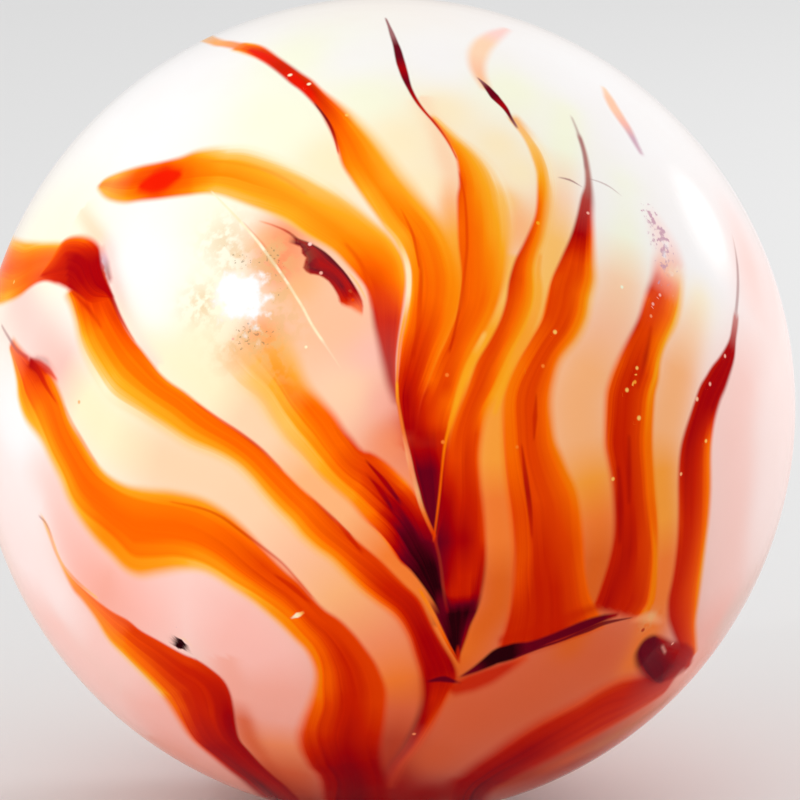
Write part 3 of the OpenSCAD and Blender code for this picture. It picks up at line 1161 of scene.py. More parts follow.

# The tints of the milk, with a painted highlight, painted rim light and painted shade among them:
# first those of the face, then those of the far side
BLUSHES = (
    Blush("150,110", 90, "w"), Blush("60,230", 50, "v"), Blush("180,60", 60, "w"),
    Blush("300,60", 40, "v"), Blush("275,120", 45, "v"), Blush("330,160", 30, "y"),
    Blush("345,60", 40, "w"), Blush("365,100", 36, "v"), Blush("395,140", 30, "y"),
    Blush("440,60", 40, "w"), Blush("440,110", 26, "y"), Blush("424,185", 16, "y"),
    Blush("510,90", 30, "v"), Blush("498,145", 16, "y"), Blush("520,172", 16, "y"),
    Blush("503,202", 11, "g"), Blush("513,226", 18, "q"), Blush("570,70", 60, "w"),
    # The white at 640,120, 620,200, 720,200 and 700,270 is a painted highlight at the upper right.
    Blush("640,120", 70, "w"), Blush("620,200", 40, "w"), Blush("720,200", 60, "w"),
    Blush("700,270", 40, "w"), Blush("200,230", 36, "v"), Blush("150,260", 50, "w"),
    Blush("150,310", 34, "w"), Blush("200,300", 40, "v"), Blush("195,340", 30, "y"),
    Blush("300,285", 18, "q"), Blush("325,325", 30, "z"), Blush("264,337", 12, "s", 3),
    Blush("243,358", 14, "q"), Blush("268,370", 13, "a", 2), Blush("283,262", 14, "s", 4),
    Blush("268,240", 13, "q"), Blush("284,240", 12, "s", 4), Blush("350,330", 24, "z"),
    Blush("368,350", 24, "u"), Blush("382,400", 20, "e"), Blush("350,390", 26, "p"),
    Blush("395,440", 20, "s"), Blush("415,485", 16, "s"), Blush("422,425", 16, "r", 4),
    # The pale pink here, and the white at 15,440 and the pink at 20,500 on the next line, are a
    # painted rim light at the limbs.
    Blush("770,300", 50, "l"), Blush("780,400", 50, "l"), Blush("770,500", 50, "l"),
    # From 530,690 on: browner glass, darker towards the bottom, partly painted shade; the crimson
    # at 425,796 is a painted reflection of the dark under the ball.
    Blush("15,440", 40, "w"), Blush("20,500", 40, "l"), Blush("530,690", 50, "t"),
    Blush("600,660", 40, "t"), Blush("470,715", 40, "t"), Blush("430,755", 30, "t"),
    Blush("425,796", 22, "c", 2), Blush("570,765", 50, "i"), Blush("650,710", 32, "t"),
    Blush("~300,150", 110, "v"), Blush("~520,160", 110, "w"), Blush("~200,330", 110, "p"),
    Blush("~400,400", 120, "p"), Blush("~600,360", 120, "n"), Blush("~150,520", 110, "n"),
    Blush("~330,560", 110, "q"), Blush("~480,600", 110, "s"), Blush("~640,560", 110, "n"),
    Blush("~330,720", 90, "t"), Blush("~470,740", 90, "i"), Blush("~200,680", 90, "e"),
)

# The tints of the milk that run between the ribbons; the one in shaded pink paints shade down the
# lower right side
VEILS = (
    Veil("438,135 445,155 451,175 450,200 455,235 461,265", "pppqaa", 9, 1),
    Veil("60,600 95,640 130,675 160,705 190,740 220,778", "lnnuue", 20),
    Veil("460,300 452,330 440,355 430,380 422,410", "oooff", 9, 3),
    Veil("505,300 492,330 478,352 466,374 457,400 450,425 444,450 440,500 437,530 440,560 443,600",
         "gaaaooffrcx", 8, 3),
    Veil("20,470 50,485 75,545 105,590 145,603 185,605 230,630 262,660 275,690 274,720 280,745 "
         "287,772 292,795", "lnueunuueesti", 24),
    Veil("98,237 107,250 112,268 117,288 124,308 134,328", "pnnuun", 9, 1),
    Veil("238,698 245,720 252,740 264,757 280,780", "ettti", 9, 1),
    Veil("30,570 50,620 85,670 120,705 155,728 182,752 205,780", "lnnnuee", 26),
    Veil("35,330 60,370 85,400 110,430 160,458 210,475 260,512 300,552 340,592 375,642 395,680 "
         "397,710 396,740 394,785", "nuyypppzqsjtic", 22),
    Veil("150,340 185,365 215,388 245,410 270,440 303,478 345,515 388,553 413,583 430,608",
         "yyyppqqjjj", 20),
    Veil("565,150 560,195 555,240 545,285 522,330 506,370 496,420 494,460 496,500 500,540 "
         "500,580 497,605 480,630 468,648", "vpggaahhjjbbbb", 17),
    Veil("625,235 622,280 610,330 592,370 580,400 582,440 590,480 597,520 597,560 588,597",
         "vpzqqqhjbb", 20),
    # Its white start at 700,270 lies in the painted highlight at the upper right.
    Veil("700,270 700,295 690,330 678,370 665,430 660,470 663,520 665,560 662,590 655,612",
         "wypqqhhjjj", 18),
    Veil("682,688 664,702 632,726 600,745 568,760 530,775", "eUUUti", 13, 2),
    # Painted shade down the lower right side
    Veil("794,400 792,470 776,540 752,588 724,625 700,658", "lnDDDe", 26),
    Veil("750,270 760,330 745,380 736,430 738,480 735,530 728,580 712,625", "nlnnnnnu", 34, 0.6),
)

# The wear round the white core, on the tip of the broad ribbon, and two marks on their own. The
# frost of the white core and of the ribbon's tip is a painted highlight on worn skin.
WEAR_AND_HIGHLIGHTS = (
    WearAndHighlight("238,295", 30, frost_and_highlight=1.25), WearAndHighlight("258,305", 18, frost_and_highlight=0.3),
    WearAndHighlight("225,240", 24, tan=0.62), WearAndHighlight("202,304", 20, tan=0.78),
    WearAndHighlight("243,326", 18, tan=0.62), WearAndHighlight("262,262", 18, tan=0.6), WearAndHighlight("238,264", 16, tan=0.7),
    WearAndHighlight("278,292", 18, tan=0.7), WearAndHighlight("262,340", 22, tan=0.54, frost_and_highlight=0.28),
    WearAndHighlight("232,350", 22, tan=0.48, frost_and_highlight=0.25), WearAndHighlight("284,262", 18, tan=0.55, dusky=0.1),
    WearAndHighlight("290,320", 22, tan=0.5), WearAndHighlight("276,246", 13, tan=0.5),
    WearAndHighlight("322,268", 16, dusky=0.3), WearAndHighlight("275,360", 26, tan=0.4),
    WearAndHighlight("645,208", 10, dusky=0.45), WearAndHighlight("652,218", 15, dusky=0.5),
    WearAndHighlight("660,236", 18, dusky=0.5, frost_and_highlight=0.3), WearAndHighlight("668,254", 20, dusky=0.48, frost_and_highlight=0.5),
    WearAndHighlight("664,280", 18, dusky=0.4, frost_and_highlight=0.3), WearAndHighlight("638,148", 9, dusky=0.6),
    WearAndHighlight("650,620", 12, tan=0.5),
)

# The bubbles, grains and painted glints, each with its letter of glass
SPECKS = (
    Speck("290,75", 2.2, "y"), Speck("309,84", 2, "y"), Speck("347,115", 1.8, "g"),
    Speck("538,223", 1.8, "a"), Speck("555,332", 2, "g"), Speck("543,366", 1.8, "j"),
    Speck("447,375", 1.8, "j"), Speck("622,287", 1.6, "v"), Speck("725,356", 1.8, "e"),
    Speck("710,384", 1.8, "e"), Speck("697,399", 2, "z"), Speck("660,295", 1.6, "e"),
    Speck("653,304", 1.6, "e"), Speck("651,316", 1.6, "s"), Speck("637,368", 1.7, "g"),
    Speck("635,382", 1.7, "h"), Speck("627,390", 2, "g"), Speck("510,441", 2.2, "g"),
    Speck("517,447", 1.6, "j"), Speck("639,418", 2.2, "g"), Speck("613,479", 1.8, "g"),
    Speck("681,474", 1.6, "q"), Speck("706,441", 1.8, "g"), Speck("443,442", 1.8, "j"),
    Speck("414,734", 1.8, "s"), Speck("233,339", 1.2, "e"), Speck("306,347", 1.4, "y"),
    Speck("588,213", 1.6, "e"), Speck("79,402", 1.8, "q"), Speck("14,282", 1.8, "g"),
    # The specks at 321,273, 350,291, 353,300 and 673,644 are painted glints, and the one at
    # 686,672 a painted rim light.
    Speck("310,244", 1.8, "n"), Speck("321,273", 1.6, "e"), Speck("350,291", 1.6, "i"),
    Speck("353,300", 1.6, "f"), Speck("673,644", 1.6, "e"), Speck("643,630", 2.2, "i"),
    Speck("686,672", 2.2, "u"),
)


@dataclass(frozen=True)
class Dent:
    """A shallow hollow in the skin: its place, half sizes and depth in sheet units.

    The mesh is drawn together round it by the share that gather says, out to gather_reach
    half lengths.
    """

    place: str
    half_length: float
    half_width: float
    depth: float
    turn_deg: float = 0.0
    gather: float = 0.0
    gather_reach: float = 4.0

    def frame(self) -> np.ndarray:
        """Finds how the hollow lies.

        Returns:
            Its outward direction, its long axis and its short one, one to a row.
        """
        out = SHEET.lift(self.place)[0]
        right, up, _ = SHEET.axes()
        turn = math.radians(self.turn_deg)
        long_way = right * math.cos(turn) + up * math.sin(turn)
        long_way = long_way - out * (long_way @ out)
        long_way /= np.linalg.norm(long_way)
        return np.array([out, long_way, np.cross(out, long_way)])

    def gathered(self, places: np.ndarray) -> np.ndarray:
        """Draws the mesh together round the hollow, so that it is fine enough to show it.

        Args:
            places: Unit vectors.

        Returns:
            The same vectors, closer together near the hollow.
        """
        out = self.frame()[0]
        reach = self.gather_reach * self.half_length / SHEET.reach
        offset = places - out
        share = np.clip(np.linalg.norm(offset, axis=1) / reach, 0, 1)
        pull = self.gather * (1 - share**2) ** 2
        moved = out + offset * (1 - pull)[:, None]
        return moved / np.linalg.norm(moved, axis=1)[:, None]

    def depths(self, places: np.ndarray) -> np.ndarray:
        """Finds how deep each place lies in the hollow.

        Args:
            places: Unit vectors.

        Returns:
            The depths, in radii.
        """
        out, long_way, short_way = self.frame()
        away = places * SHEET.reach
        share = np.hypot(away @ long_way / self.half_length, away @ short_way / self.half_width)
        share = np.where(places @ out > 0, np.clip(share, 0, 1), 1)
        return self.depth / SHEET.reach * (1 - share**2)


# The dish of the shear mark, and the open bubble
DENTS = (
    Dent("660,661", 28, 28, 1.6),
    Dent("178.5,645.5", 8.5, 4.6, 3.2, turn_deg=-28, gather=0.7),
)


@dataclass(frozen=True)
class Noise:
    """A soft noise: the size of its blots in metres, and how many finer ones it holds."""

    size: float
    detail: float


@dataclass(frozen=True)
class Grain:
    """Grains strewn where the skin is worn.

    They show where a share of the wear rises over their noise, from the first value of the
    rise on. From its second value on, they cover as much as the cover says.
    """

    noise: Noise
    glass: Glass
    rise: tuple[float, float]
    cover: float
    share: float = 0.5


@dataclass(frozen=True)
class GlassFinish:
    """The fired, glossy skin of the ball, with its curdled milk, its streaks, and its wear, whose
    frost is whitened as a painted highlight.
    """

    roughness: float = 0.09
    index: float = 1.5
    gloss: float = 0.012
    skin: Noise = Noise(0.10 * MM, 1.0)
    skin_depth: float = 0.0012 * MM
    curdle: Noise = Noise(1.1 * MM, 4.0)
    curdle_share: float = 0.16
    curdle_from: float = -0.04
    curdle_tint: tuple[float, ...] = (0.9, 0.72, 0.6, 1.0)
    streaks: float = 6.0
    streaks_apart: float = 7.0
    streak_detail: float = 3.0
    wander: Noise = Noise(2.4 * MM, 1.0)
    wander_share: float = 2.5
    streak_shift: float = 0.32
    streak_depth: float = 0.07
    ragged: Noise = Noise(0.22 * MM, 5.0)
    blot_rise: tuple[float, float] = (0.42, 0.60)
    blot_cover: float = 0.75
    flecks: Grain = Grain(Noise(0.12 * MM, 2.0), Glass.LILAC, (-0.20, -0.06), 0.85)
    crumbs: Grain = Grain(Noise(0.06 * MM, 1.0), Glass.OLIVE, (0.07, 0.13), 0.55)
    # The ragged frost, whose white is a painted highlight
    highlight_frost_share: float = 1.6
    highlight_frost_rise: tuple[float, float] = (1.30, 1.80)
    frost_roughness: float = 0.3
    speck_rim: tuple[float, float] = (1.5, 0.5)


FINISH = GlassFinish()


@dataclass
class Wires:
    """Adds nodes to a material's tree and joins them up."""

    tree: bpy.types.NodeTree

    def node(self, kind: str, feeds: dict | None = None, **settings: object) -> bpy.types.Node:
        """Adds a node.

        Args:
            kind: The node's kind.
            feeds: What goes to its inputs: other nodes' outputs, or plain values.
            settings: Values for the node's own settings, by name.

        Returns:
            The node.
        """
        made = self.tree.nodes.new(kind)
        for name, value in settings.items():
            setattr(made, name, value)
        for key, value in (feeds or {}).items():
            self.feed(made.inputs[key], value)
        return made

    def feed(self, socket: bpy.types.NodeSocket, value: object) -> None:
        """Links an output to a socket, or sets the socket's own value.

        Args:
            socket: The input.
            value: Another node's output, or a plain value.
        """
        if isinstance(value, bpy.types.NodeSocket):
            self.tree.links.new(value, socket)
        else:
            socket.default_value = value

    def math(self, operation: str, *values: object) -> bpy.types.NodeSocket:
        """One step of arithmetic on numbers, or on the outputs that give them."""
        made = self.node("ShaderNodeMath", dict(enumerate(values)), operation=operation)
        return made.outputs[0]

    def length(self, operation: str, *values: object) -> bpy.types.NodeSocket:
        """One step of arithmetic that makes a length out of vectors."""
        made = self.node("ShaderNodeVectorMath", dict(enumerate(values)), operation=operation)
        return made.outputs["Value"]

    def stored(self, name: str, kind: str = "Color") -> bpy.types.NodeSocket:
        """Three numbers stored on the mesh."""
        return self.node("ShaderNodeAttribute", attribute_name=name).outputs[kind]

    def parts(self, name: str) -> list[bpy.types.NodeSocket]:
        """Three numbers stored on the mesh, each on its own."""
        return list(self.node("ShaderNodeSeparateColor", {0: self.stored(name)}).outputs)

    def eased(self, value: object, low: float, high: float) -> bpy.types.NodeSocket:
        """Rises smoothly from 0 to 1.

        Args:
            value: What the rise follows.
            low: The value at its foot.
            high: The value at its top.

        Returns:
            A number from 0 to 1.
        """
        made = self.node("ShaderNodeMapRange",
                         {"Value": value, "From Min": low, "From Max": high},
                         interpolation_type="SMOOTHSTEP", clamp=False)
        return made.outputs["Result"]

    def past_edge(self, inside: object) -> bpy.types.NodeSocket:
        """Rises smoothly from 0 to 1 across an edge, over a width of 1."""
        return self.eased(inside, -HALF, HALF)

    def mixed(self, share: object, under: object, over: object,
              blend: str = "MIX") -> bpy.types.NodeSocket:
        """Lays one colour over another.

        Args:
            share: How much of the upper colour shows, from 0 to 1.
            under: The lower colour.
            over: The upper colour.
            blend: The node's name for the way in which they blend.

        Returns:
            The colour that shows.
        """
        made = self.node("ShaderNodeMix", dict(zip(MIX_COLOURS, (share, under, over))),
                         data_type="RGBA", blend_type=blend)
        return made.outputs[MIXED_COLOUR]

    def blended(self, share: object, before: object, after: object) -> bpy.types.NodeSocket:
        """Goes from one number to another.

        Args:
            share: How far it goes, from 0 to 1.
            before: The number that it goes from.
            after: The number that it goes to.

        Returns:
            The number between them.
        """
        made = self.node("ShaderNodeMix", dict(zip(MIX_NUMBERS, (share, before, after))),
                         data_type="FLOAT")
        return made.outputs[MIXED_NUMBER]

    def glazed(self, depth: object) -> bpy.types.NodeSocket:
        """Finds the colour of a ribbon's glass.

        Args:
            depth: From 0, which is milk, to 1, which is the darkest glass.

        Returns:
            The colour.
        """
        made = self.node("ShaderNodeValToRGB", {"Fac": depth})
        stops = made.color_ramp.elements
        stops.remove(stops[1])
        stops[0].color = GLASS[DEPTHS[0]].paint
        for k, letter in enumerate(DEPTHS[1:], 1):
            stops.new(k / (len(DEPTHS) - 1)).color = GLASS[letter].paint
        return made.outputs["Color"]

    def noise(self, noise: Noise) -> bpy.types.NodeSocket:
        """Fills the glass with a noise.

        Args:
            noise: The noise.

        Returns:
            A number from 0 to 1.
        """
        place = self.node("ShaderNodeTexCoord").outputs["Object"]
        feeds = {"Vector": place, "Scale": 1 / noise.size, "Detail": noise.detail}
        return self.node("ShaderNodeTexNoise", feeds, noise_dimensions="3D").outputs["Fac"]

    def stripes(self, way: object, detail: float) -> bpy.types.NodeSocket:
        """A noise from 0 to 1 that changes with one number alone, over steps of about 1."""
        feeds = {"W": way, "Scale": 1.0, "Detail": detail}
        return self.node("ShaderNodeTexNoise", feeds, noise_dimensions="1D").outputs["Fac"]


@dataclass
class GlassMaterial:
    """The ball's material: milky glass, ribbons, threads and specks, one over the other."""

    name: str
    finish: GlassFinish
    slots: int
    material: bpy.types.Material = field(init=False)
    wires: Wires = field(init=False)

    def __post_init__(self) -> None:
        """Makes the material, with its glass still to be wired."""
        self.material = bpy.data.materials.new(self.name)
        self.material.use_nodes = True
        self.wires = Wires(self.material.node_tree)

    def build(self, ribbons: list[Deck], threads: list[Deck]) -> bpy.types.Material:
        """Wires the material.

        Args:
            ribbons: The decks of ribbons, the lowest first.
            threads: The decks of threads, the lowest first.

        Returns:
            The material.
        """
        colour = self.milk()
        wander = self.wires.noise(self.finish.wander)
        for k, deck in enumerate(ribbons):
            colour = self.ribbon_deck(colour, deck.name, k, wander)
        for deck in threads:
            colour = self.thread_deck(colour, deck.name)
        colour, roughness = self.worn_and_highlighted(colour)
        skin = self.material.node_tree.nodes["Principled BSDF"]
        feeds = {
            "Base Color": self.specks(colour),
            "Roughness": roughness,
            "IOR": self.finish.index,
            "Specular IOR Level": self.finish.gloss,
            "Normal": self.grain(),
        }
        for key, value in feeds.items():
            self.wires.feed(skin.inputs[key], value)
        return self.material

    def milk(self) -> bpy.types.NodeSocket:
        """Curdles the tinted milk faintly.

        Returns:
            The colour of the milky glass.
        """
        wires, finish = self.wires, self.finish
        curdle = wires.noise(finish.curdle)
        share = wires.math("MULTIPLY_ADD", curdle, finish.curdle_share, finish.curdle_from)
        return wires.mixed(share, wires.stored("milk"), finish.curdle_tint, "MULTIPLY")

    def edge_cover(self, inside: object, soft: object) -> bpy.types.NodeSocket:
        """How far an edge lets its strand show, over its soft width."""
        return self.wires.past_edge(self.wires.math("DIVIDE", inside, soft))

    def ribbon_deck(self, under: object, deck: str, level: int,
                    wander: object) -> bpy.types.NodeSocket:
        """Lays a deck of ribbons over what is under it.

        Args:
            under: The colour under the deck.
            deck: The deck's name.
            level: The deck's number, which sets its streaks apart.
            wander: Soft noise that makes the streaks wander.

        Returns:
            The colour with the deck on it.
        """
        wires, finish = self.wires, self.finish
        low, high, cover = wires.parts(f"{deck}_edges")
        soft_low, soft_high, haze = wires.parts(f"{deck}_soft")
        depths = [*wires.parts(f"{deck}_low_glass"), *wires.parts(f"{deck}_high_glass")]
        width = wires.math("MAXIMUM", wires.math("ADD", low, high), 1.0)
        share = wires.math("DIVIDE", low, width)
        streaks = wires.math("MULTIPLY_ADD", share, finish.streaks, finish.streaks_apart * level)
        streaks = wires.math("MULTIPLY_ADD", wander, finish.wander_share, streaks)
        drift = wires.math("SUBTRACT", wires.stripes(streaks, finish.streak_detail), HALF)
        share = wires.math("MULTIPLY_ADD", drift, finish.streak_shift, share)
        depth = depths[0]
        for step, following in enumerate(depths[1:]):
            place = wires.math("MULTIPLY_ADD", share, float(self.slots - 1), float(-step))
            depth = wires.blended(place, depth, following)
        depth = wires.math("MULTIPLY_ADD", drift, finish.streak_depth, depth)
        colour = wires.mixed(haze, wires.glazed(depth), Glass.ROSE.paint)
        shown = wires.math("MULTIPLY", self.edge_cover(low, soft_low),
                           self.edge_cover(high, soft_high))
        return wires.mixed(wires.math("MULTIPLY", shown, cover), under, colour)

    def thread_deck(self, under: object, deck: str) -> bpy.types.NodeSocket:
        """Lays a deck of threads over what is under it.

        Args:
            under: The colour under the deck.
            deck: The deck's name.

        Returns:
            The colour with the deck on it.
        """
        wires = self.wires
        low, high, cover = wires.parts(f"{deck}_edges")
        shown = wires.math("MULTIPLY", wires.past_edge(low), wires.past_edge(high))
        shown = wires.math("MULTIPLY", shown, cover)
        return wires.mixed(shown, under, wires.stored(f"{deck}_glass"))

    def strewn(self, under: object, grain: Grain, wear: object) -> bpy.types.NodeSocket:
        """Strews grains over the skin where it is worn.

        Args:
            under: The colour under the grains.
            grain: The kind of grain.
            wear: How worn the skin is.

        Returns:
            The colour with the grains on it.
        """
        wires = self.wires
        noise = wires.noise(grain.noise)
        over = wires.math("SUBTRACT", wires.math("MULTIPLY", wear, grain.share), noise)
        shown = wires.math("MULTIPLY", wires.eased(over, *grain.rise), grain.cover)
        return wires.mixed(shown, under, grain.glass.paint)

    def worn_and_highlighted(self, under: object) -> tuple[bpy.types.NodeSocket, bpy.types.NodeSocket]:
        """Wears the skin: blots and grains first, and a ragged frost over them, whose white is a
        painted highlight.

        Args:
            under: The colour of the sound skin.

        Returns:
            The colour of the worn skin with its painted highlight, and its roughness.
        """
        wires, finish = self.wires, self.finish
        frost_and_highlight, tan, dusky = wires.parts("wear_and_highlights")
        ragged = wires.noise(finish.ragged)
        blots = wires.math("MULTIPLY", wires.eased(ragged, *finish.blot_rise), tan)
        blots = wires.math("MULTIPLY", blots, finish.blot_cover)
        colour = wires.mixed(blots, under, Glass.TAN.paint)
        colour = self.strewn(colour, finish.flecks, dusky)
        colour = self.strewn(colour, finish.crumbs, tan)
        # The frost's white is a painted highlight; the roughness it adds is real wear.
        frost_and_highlight = wires.math("MULTIPLY_ADD", ragged, finish.highlight_frost_share, frost_and_highlight)
        frost_and_highlight = wires.eased(frost_and_highlight, *finish.highlight_frost_rise)
        roughness = wires.math("MULTIPLY_ADD", frost_and_highlight, finish.frost_roughness, finish.roughness)
        return wires.mixed(frost_and_highlight, colour, Glass.MILK.paint), roughness

    def specks(self, under: object) -> bpy.types.NodeSocket:
        """Lays the specks over what is under them.

        Args:
            under: The colour under the specks.

        Returns:
            The colour with the specks on it.
        """
        away = self.wires.length("LENGTH", self.wires.stored("specks_offset", "Vector"))
        shown = self.wires.eased(away, *self.finish.speck_rim)
        return self.wires.mixed(shown, under, self.wires.stored("specks_glass"))

    def grain(self) -> bpy.types.NodeSocket:
        """The slope of the skin with its fine grain."""
        feeds = {"Height": self.wires.noise(self.finish.skin), "Distance": self.finish.skin_depth}
        return self.wires.node("ShaderNodeBump", feeds).outputs["Normal"]


def placed(name: str, data: bpy.types.ID) -> bpy.types.Object:
    """Puts a new object in the scene.

    Args:
        name: The object's name.
        data: Its mesh, lamp or camera.

    Returns:
        The object.
    """
    made = bpy.data.objects.new(name, data)
    bpy.context.scene.collection.objects.link(made)
    return made


@dataclass
class Marble:
    """The ball itself, one piece of glass."""

    centre: Vector
    radius: float
    squares: int = 126
    name: str = "swirl_marble"
    node: str = "marble"
    body: str = "root"
    slot: str = "swirl_glass"
    map_margin: float = 0.004
    map_tiles: tuple[int, int] = (3, 2)

    def cube(self) -> tuple[np.ndarray, np.ndarray, np.ndarray]:
        """Makes the six nets of squares that cover the ball, each on a tile of the map.

        Returns:
            Unit vectors, the corners of each square, and the map place of each corner.
        """
        n = self.squares
        step = np.arange(n + 1)
        i, j = (part.ravel() for part in np.meshgrid(step[:-1], step[:-1], indexing="ij"))
        corners = ((0, 0), (1, 0), (1, 1), (0, 1))
        keys, maps = [], []
        for face in range(math.prod(self.map_tiles)):
            axis, end = face // 2, face % 2
            across, up = [(1, 2), (2, 0), (0, 1)][axis]
            tile = np.array([face % self.map_tiles[0], face // self.map_tiles[0]])
            order = corners if end else corners[::-1]
            square_keys, square_maps = [], []
            for di, dj in order:
                lattice = np.empty((len(i), 3), int)
                lattice[:, axis] = n * end
                lattice[:, across] = i + di
                lattice[:, up] = j + dj
                square_keys.append(lattice @ ((n + 1) ** 2, n + 1, 1))
                inner = np.column_stack([i + di, j + dj]) / n * (1 - 2 * self.map_margin)
                square_maps.append((inner + self.map_margin + tile) / self.map_tiles)
            keys.append(np.column_stack(square_keys))
            maps.append(np.stack(square_maps, 1))
        found, squares = np.unique(np.vstack(keys), return_inverse=True)
        lattice = np.column_stack([found // (n + 1) ** 2, found // (n + 1) % (n + 1),
                                   found % (n + 1)])
        spots = np.tan(math.pi / 4 * (2 * lattice / n - 1))
        spots /= np.linalg.norm(spots, axis=1)[:, None]
        return spots, squares.reshape(-1, 4), np.vstack(maps).reshape(-1, 2)

    def build(self) -> bpy.types.Object:
        """Builds the ball's mesh, and stores on it what the material reads.

        Returns:
            The ball.
        """
        spots, squares, map_places = self.cube()
        for dent in DENTS:
            spots = dent.gathered(spots)
        depth = np.max([dent.depths(spots) for dent in DENTS], 0)
        mesh = bpy.data.meshes.new(self.name)
        points = np.array(self.centre) + spots * ((1 - depth) * self.radius)[:, None]
        mesh.from_pydata(points.tolist(), [], squares.tolist())
        mesh.shade_smooth()
        layer = mesh.uv_layers.new(name="OFBake")
        layer.data.foreach_set("uv", map_places.ravel())
        skin = Skin(spots)
        self.store(mesh, "milk", skin.milk())
        self.store(mesh, "wear_and_highlights", skin.wear_and_highlights())
        for key, values in skin.specks(SPECKS).items():
            self.store(mesh, f"specks_{key}", values)
        ribbons = dealt([skin.ribbon(drawn) for drawn in RIBBONS], "ribbons")
        softest_first = sorted(THREADS, key=lambda thread: -thread.soft)
        threads = dealt([skin.thread(drawn) for drawn in softest_first], "threads")
        for deck in ribbons + threads:
            for key, values in deck.arrays(len(spots)).items():
                self.store(mesh, f"{deck.name}_{key}", values)
            log.debug("%s holds %s", deck.name, [strand.name for strand in deck.strands])
        ball = placed(self.name, mesh)
        mesh.materials.append(GlassMaterial("swirled_glass", FINISH, skin.slots)
                              .build(ribbons, threads))
        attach(ball, self.body)
        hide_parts(self.node)
        return ball

    def store(self, mesh: bpy.types.Mesh, name: str, values: np.ndarray) -> None:
        """Stores three numbers for each vertex on the mesh."""
        layer = mesh.attributes.new(name, "FLOAT_VECTOR", "POINT")
        layer.data.foreach_set("vector", values.astype(np.float32).ravel())


@dataclass(frozen=True)
class Lamp:
    """A soft lamp that faces the ball, placed by its direction: right, up and outward.

    The sizes are those of its face, and the power is in watts. One that isn't mirrored lights
    the ball but makes no bright spot on it.
    """

    name: str
    way: tuple[float, float, float]
    distance: float
    size: tuple[float, float]
    power: float
    mirrored: bool = True


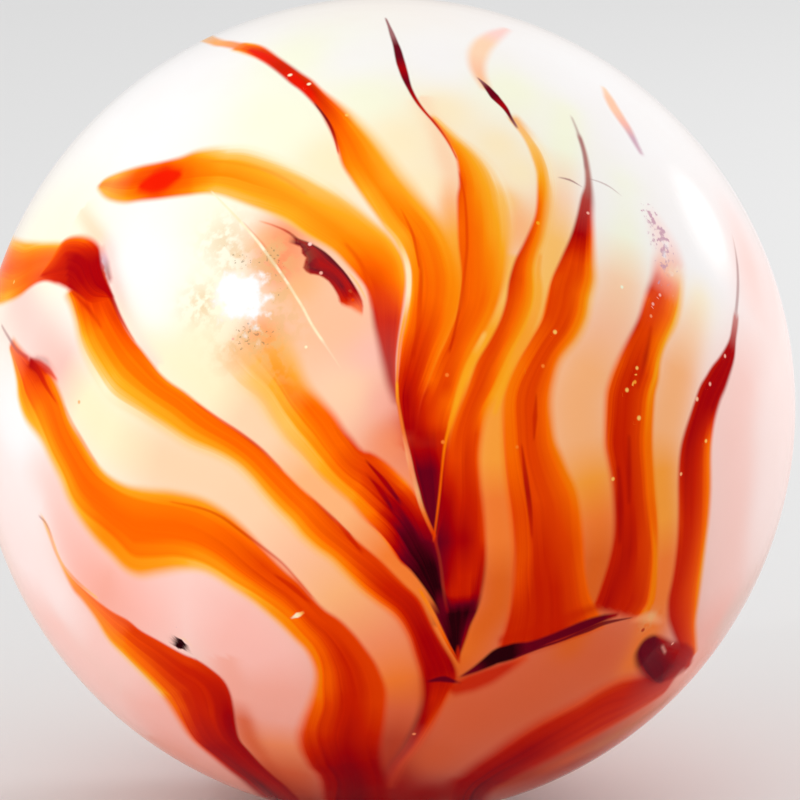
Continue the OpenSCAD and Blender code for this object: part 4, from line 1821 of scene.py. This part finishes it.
@dataclass
class Studio:
    """The plain floor, the lamps, the pale surroundings and the camera.

    A lamp's glow fades from 1 to 0 between the two distances that glow gives, from the middle
    of its face and in shares of it.
    """

    centre: Vector
    radius: float
    lamps: tuple[Lamp, ...] = (
        Lamp("left_lamp", (-0.617, 0.483, 0.62), 150 * MM, (19 * MM, 17 * MM), 0.04),
        Lamp("right_lamp", (0.74, 0.42, -0.52), 150 * MM, (70 * MM, 50 * MM), 0.24),
        Lamp("low_fill", (-0.80, 0.02, 0.60), 300 * MM, (160 * MM, 60 * MM), 0.72,
             mirrored=False),
    )
    glow: tuple[float, float] = (0.1, 0.5)
    floor_half: float = 700 * MM
    floor_roughness: float = 0.9
    floor_grey: float = 0.73
    fill_grey: float = 0.88
    backdrop_grey: float = 0.55
    sensor: float = 36.0
    sheet_width: float = 800.0
    nearest: float = 10 * MM
    farthest: float = 4000 * MM

    def build(self) -> None:
        """Builds the whole studio."""
        self.floor()
        self.surroundings()
        for lamp in self.lamps:
            self.lamp(lamp)
        self.camera()

    def floor(self) -> None:
        """Lays the floor under the ball."""
        half, low = self.floor_half, self.centre.z - self.radius
        mesh = bpy.data.meshes.new("floor")
        corners = [(-half, -half, low), (half, -half, low), (half, half, low), (-half, half, low)]
        mesh.from_pydata(corners, [], [(0, 1, 2, 3)])
        material = bpy.data.materials.new("floor")
        material.use_nodes = True
        skin = material.node_tree.nodes["Principled BSDF"]
        skin.inputs["Base Color"].default_value = (*[self.floor_grey] * 3, 1.0)
        skin.inputs["Roughness"].default_value = self.floor_roughness
        mesh.materials.append(material)
        floor = placed("floor", mesh)

    def surroundings(self) -> None:
        """Sets the even light from all round, and the pale backdrop that the camera sees."""
        world = bpy.data.worlds.new("studio")
        world.use_nodes = True
        bpy.context.scene.world = world
        wires = Wires(world.node_tree)
        sky = world.node_tree.nodes["Background"]
        path = wires.node("ShaderNodeLightPath")
        seen = wires.math("ADD", path.outputs["Is Camera Ray"], path.outputs["Is Glossy Ray"])
        seen = wires.math("ADD", seen, path.outputs["Is Transmission Ray"])
        fill, pale = ((*[grey] * 3, 1.0) for grey in (self.fill_grey, self.backdrop_grey))
        wires.feed(sky.inputs["Color"], wires.mixed(seen, fill, pale))
        wires.feed(sky.inputs["Strength"], 1.0)

    def lamp(self, lamp: Lamp) -> None:
        """Hangs a lamp that faces the ball.

        Args:
            lamp: The lamp.
        """
        light = bpy.data.lights.new(lamp.name, "AREA")
        light.shape = "RECTANGLE"
        light.size, light.size_y = lamp.size
        light.energy = lamp.power
        light.use_nodes = True
        wires = Wires(light.node_tree)
        place = wires.node("ShaderNodeNewGeometry").outputs["Parametric"]
        away = wires.length("DISTANCE", place, (HALF, HALF, 0.0))
        glow = wires.eased(away, self.glow[1], self.glow[0])
        wires.feed(light.node_tree.nodes["Emission"].inputs["Strength"], glow)
        hung = placed(lamp.name, light)
        hung.visible_glossy = lamp.mirrored
        way = Vector(np.array(lamp.way) @ SHEET.axes()).normalized()
        hung.location = self.centre + way * lamp.distance
        hung.rotation_euler = way.to_track_quat("Z", "Y").to_euler()

    def camera(self) -> None:
        """Places the camera so that the sheet fills its view."""
        data = bpy.data.cameras.new("camera")
        data.sensor_width = self.sensor
        half = self.sheet_width / 2
        data.lens = self.sensor / 2 * math.sqrt(SHEET.eye_radii**2 - 1) * SHEET.reach / half
        data.shift_x = (half - SHEET.centre[0]) / self.sheet_width
        data.shift_y = (SHEET.centre[1] - half) / self.sheet_width
        data.clip_start, data.clip_end = self.nearest, self.farthest
        camera = placed("camera", data)
        out = Vector(SHEET.axes()[2])
        camera.location = self.centre + out * self.radius * SHEET.eye_radii
        camera.rotation_euler = out.to_track_quat("Z", "Y").to_euler()
        bpy.context.scene.camera = camera


def main() -> None:
    """Builds the marble and its studio."""
    logging.basicConfig(level=logging.INFO, format="%(name)s: %(message)s")
    bpy.context.scene.view_settings.view_transform = "Standard"
    low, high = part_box("marble")
    centre = (low + high) / 2
    radius = max(high - low) / 2
    ball = Marble(centre, radius).build()
    log.info("%s: %d squares", ball.name, len(ball.data.polygons))
    Studio(centre, radius).build()


if __name__ == "__main__":
    main()
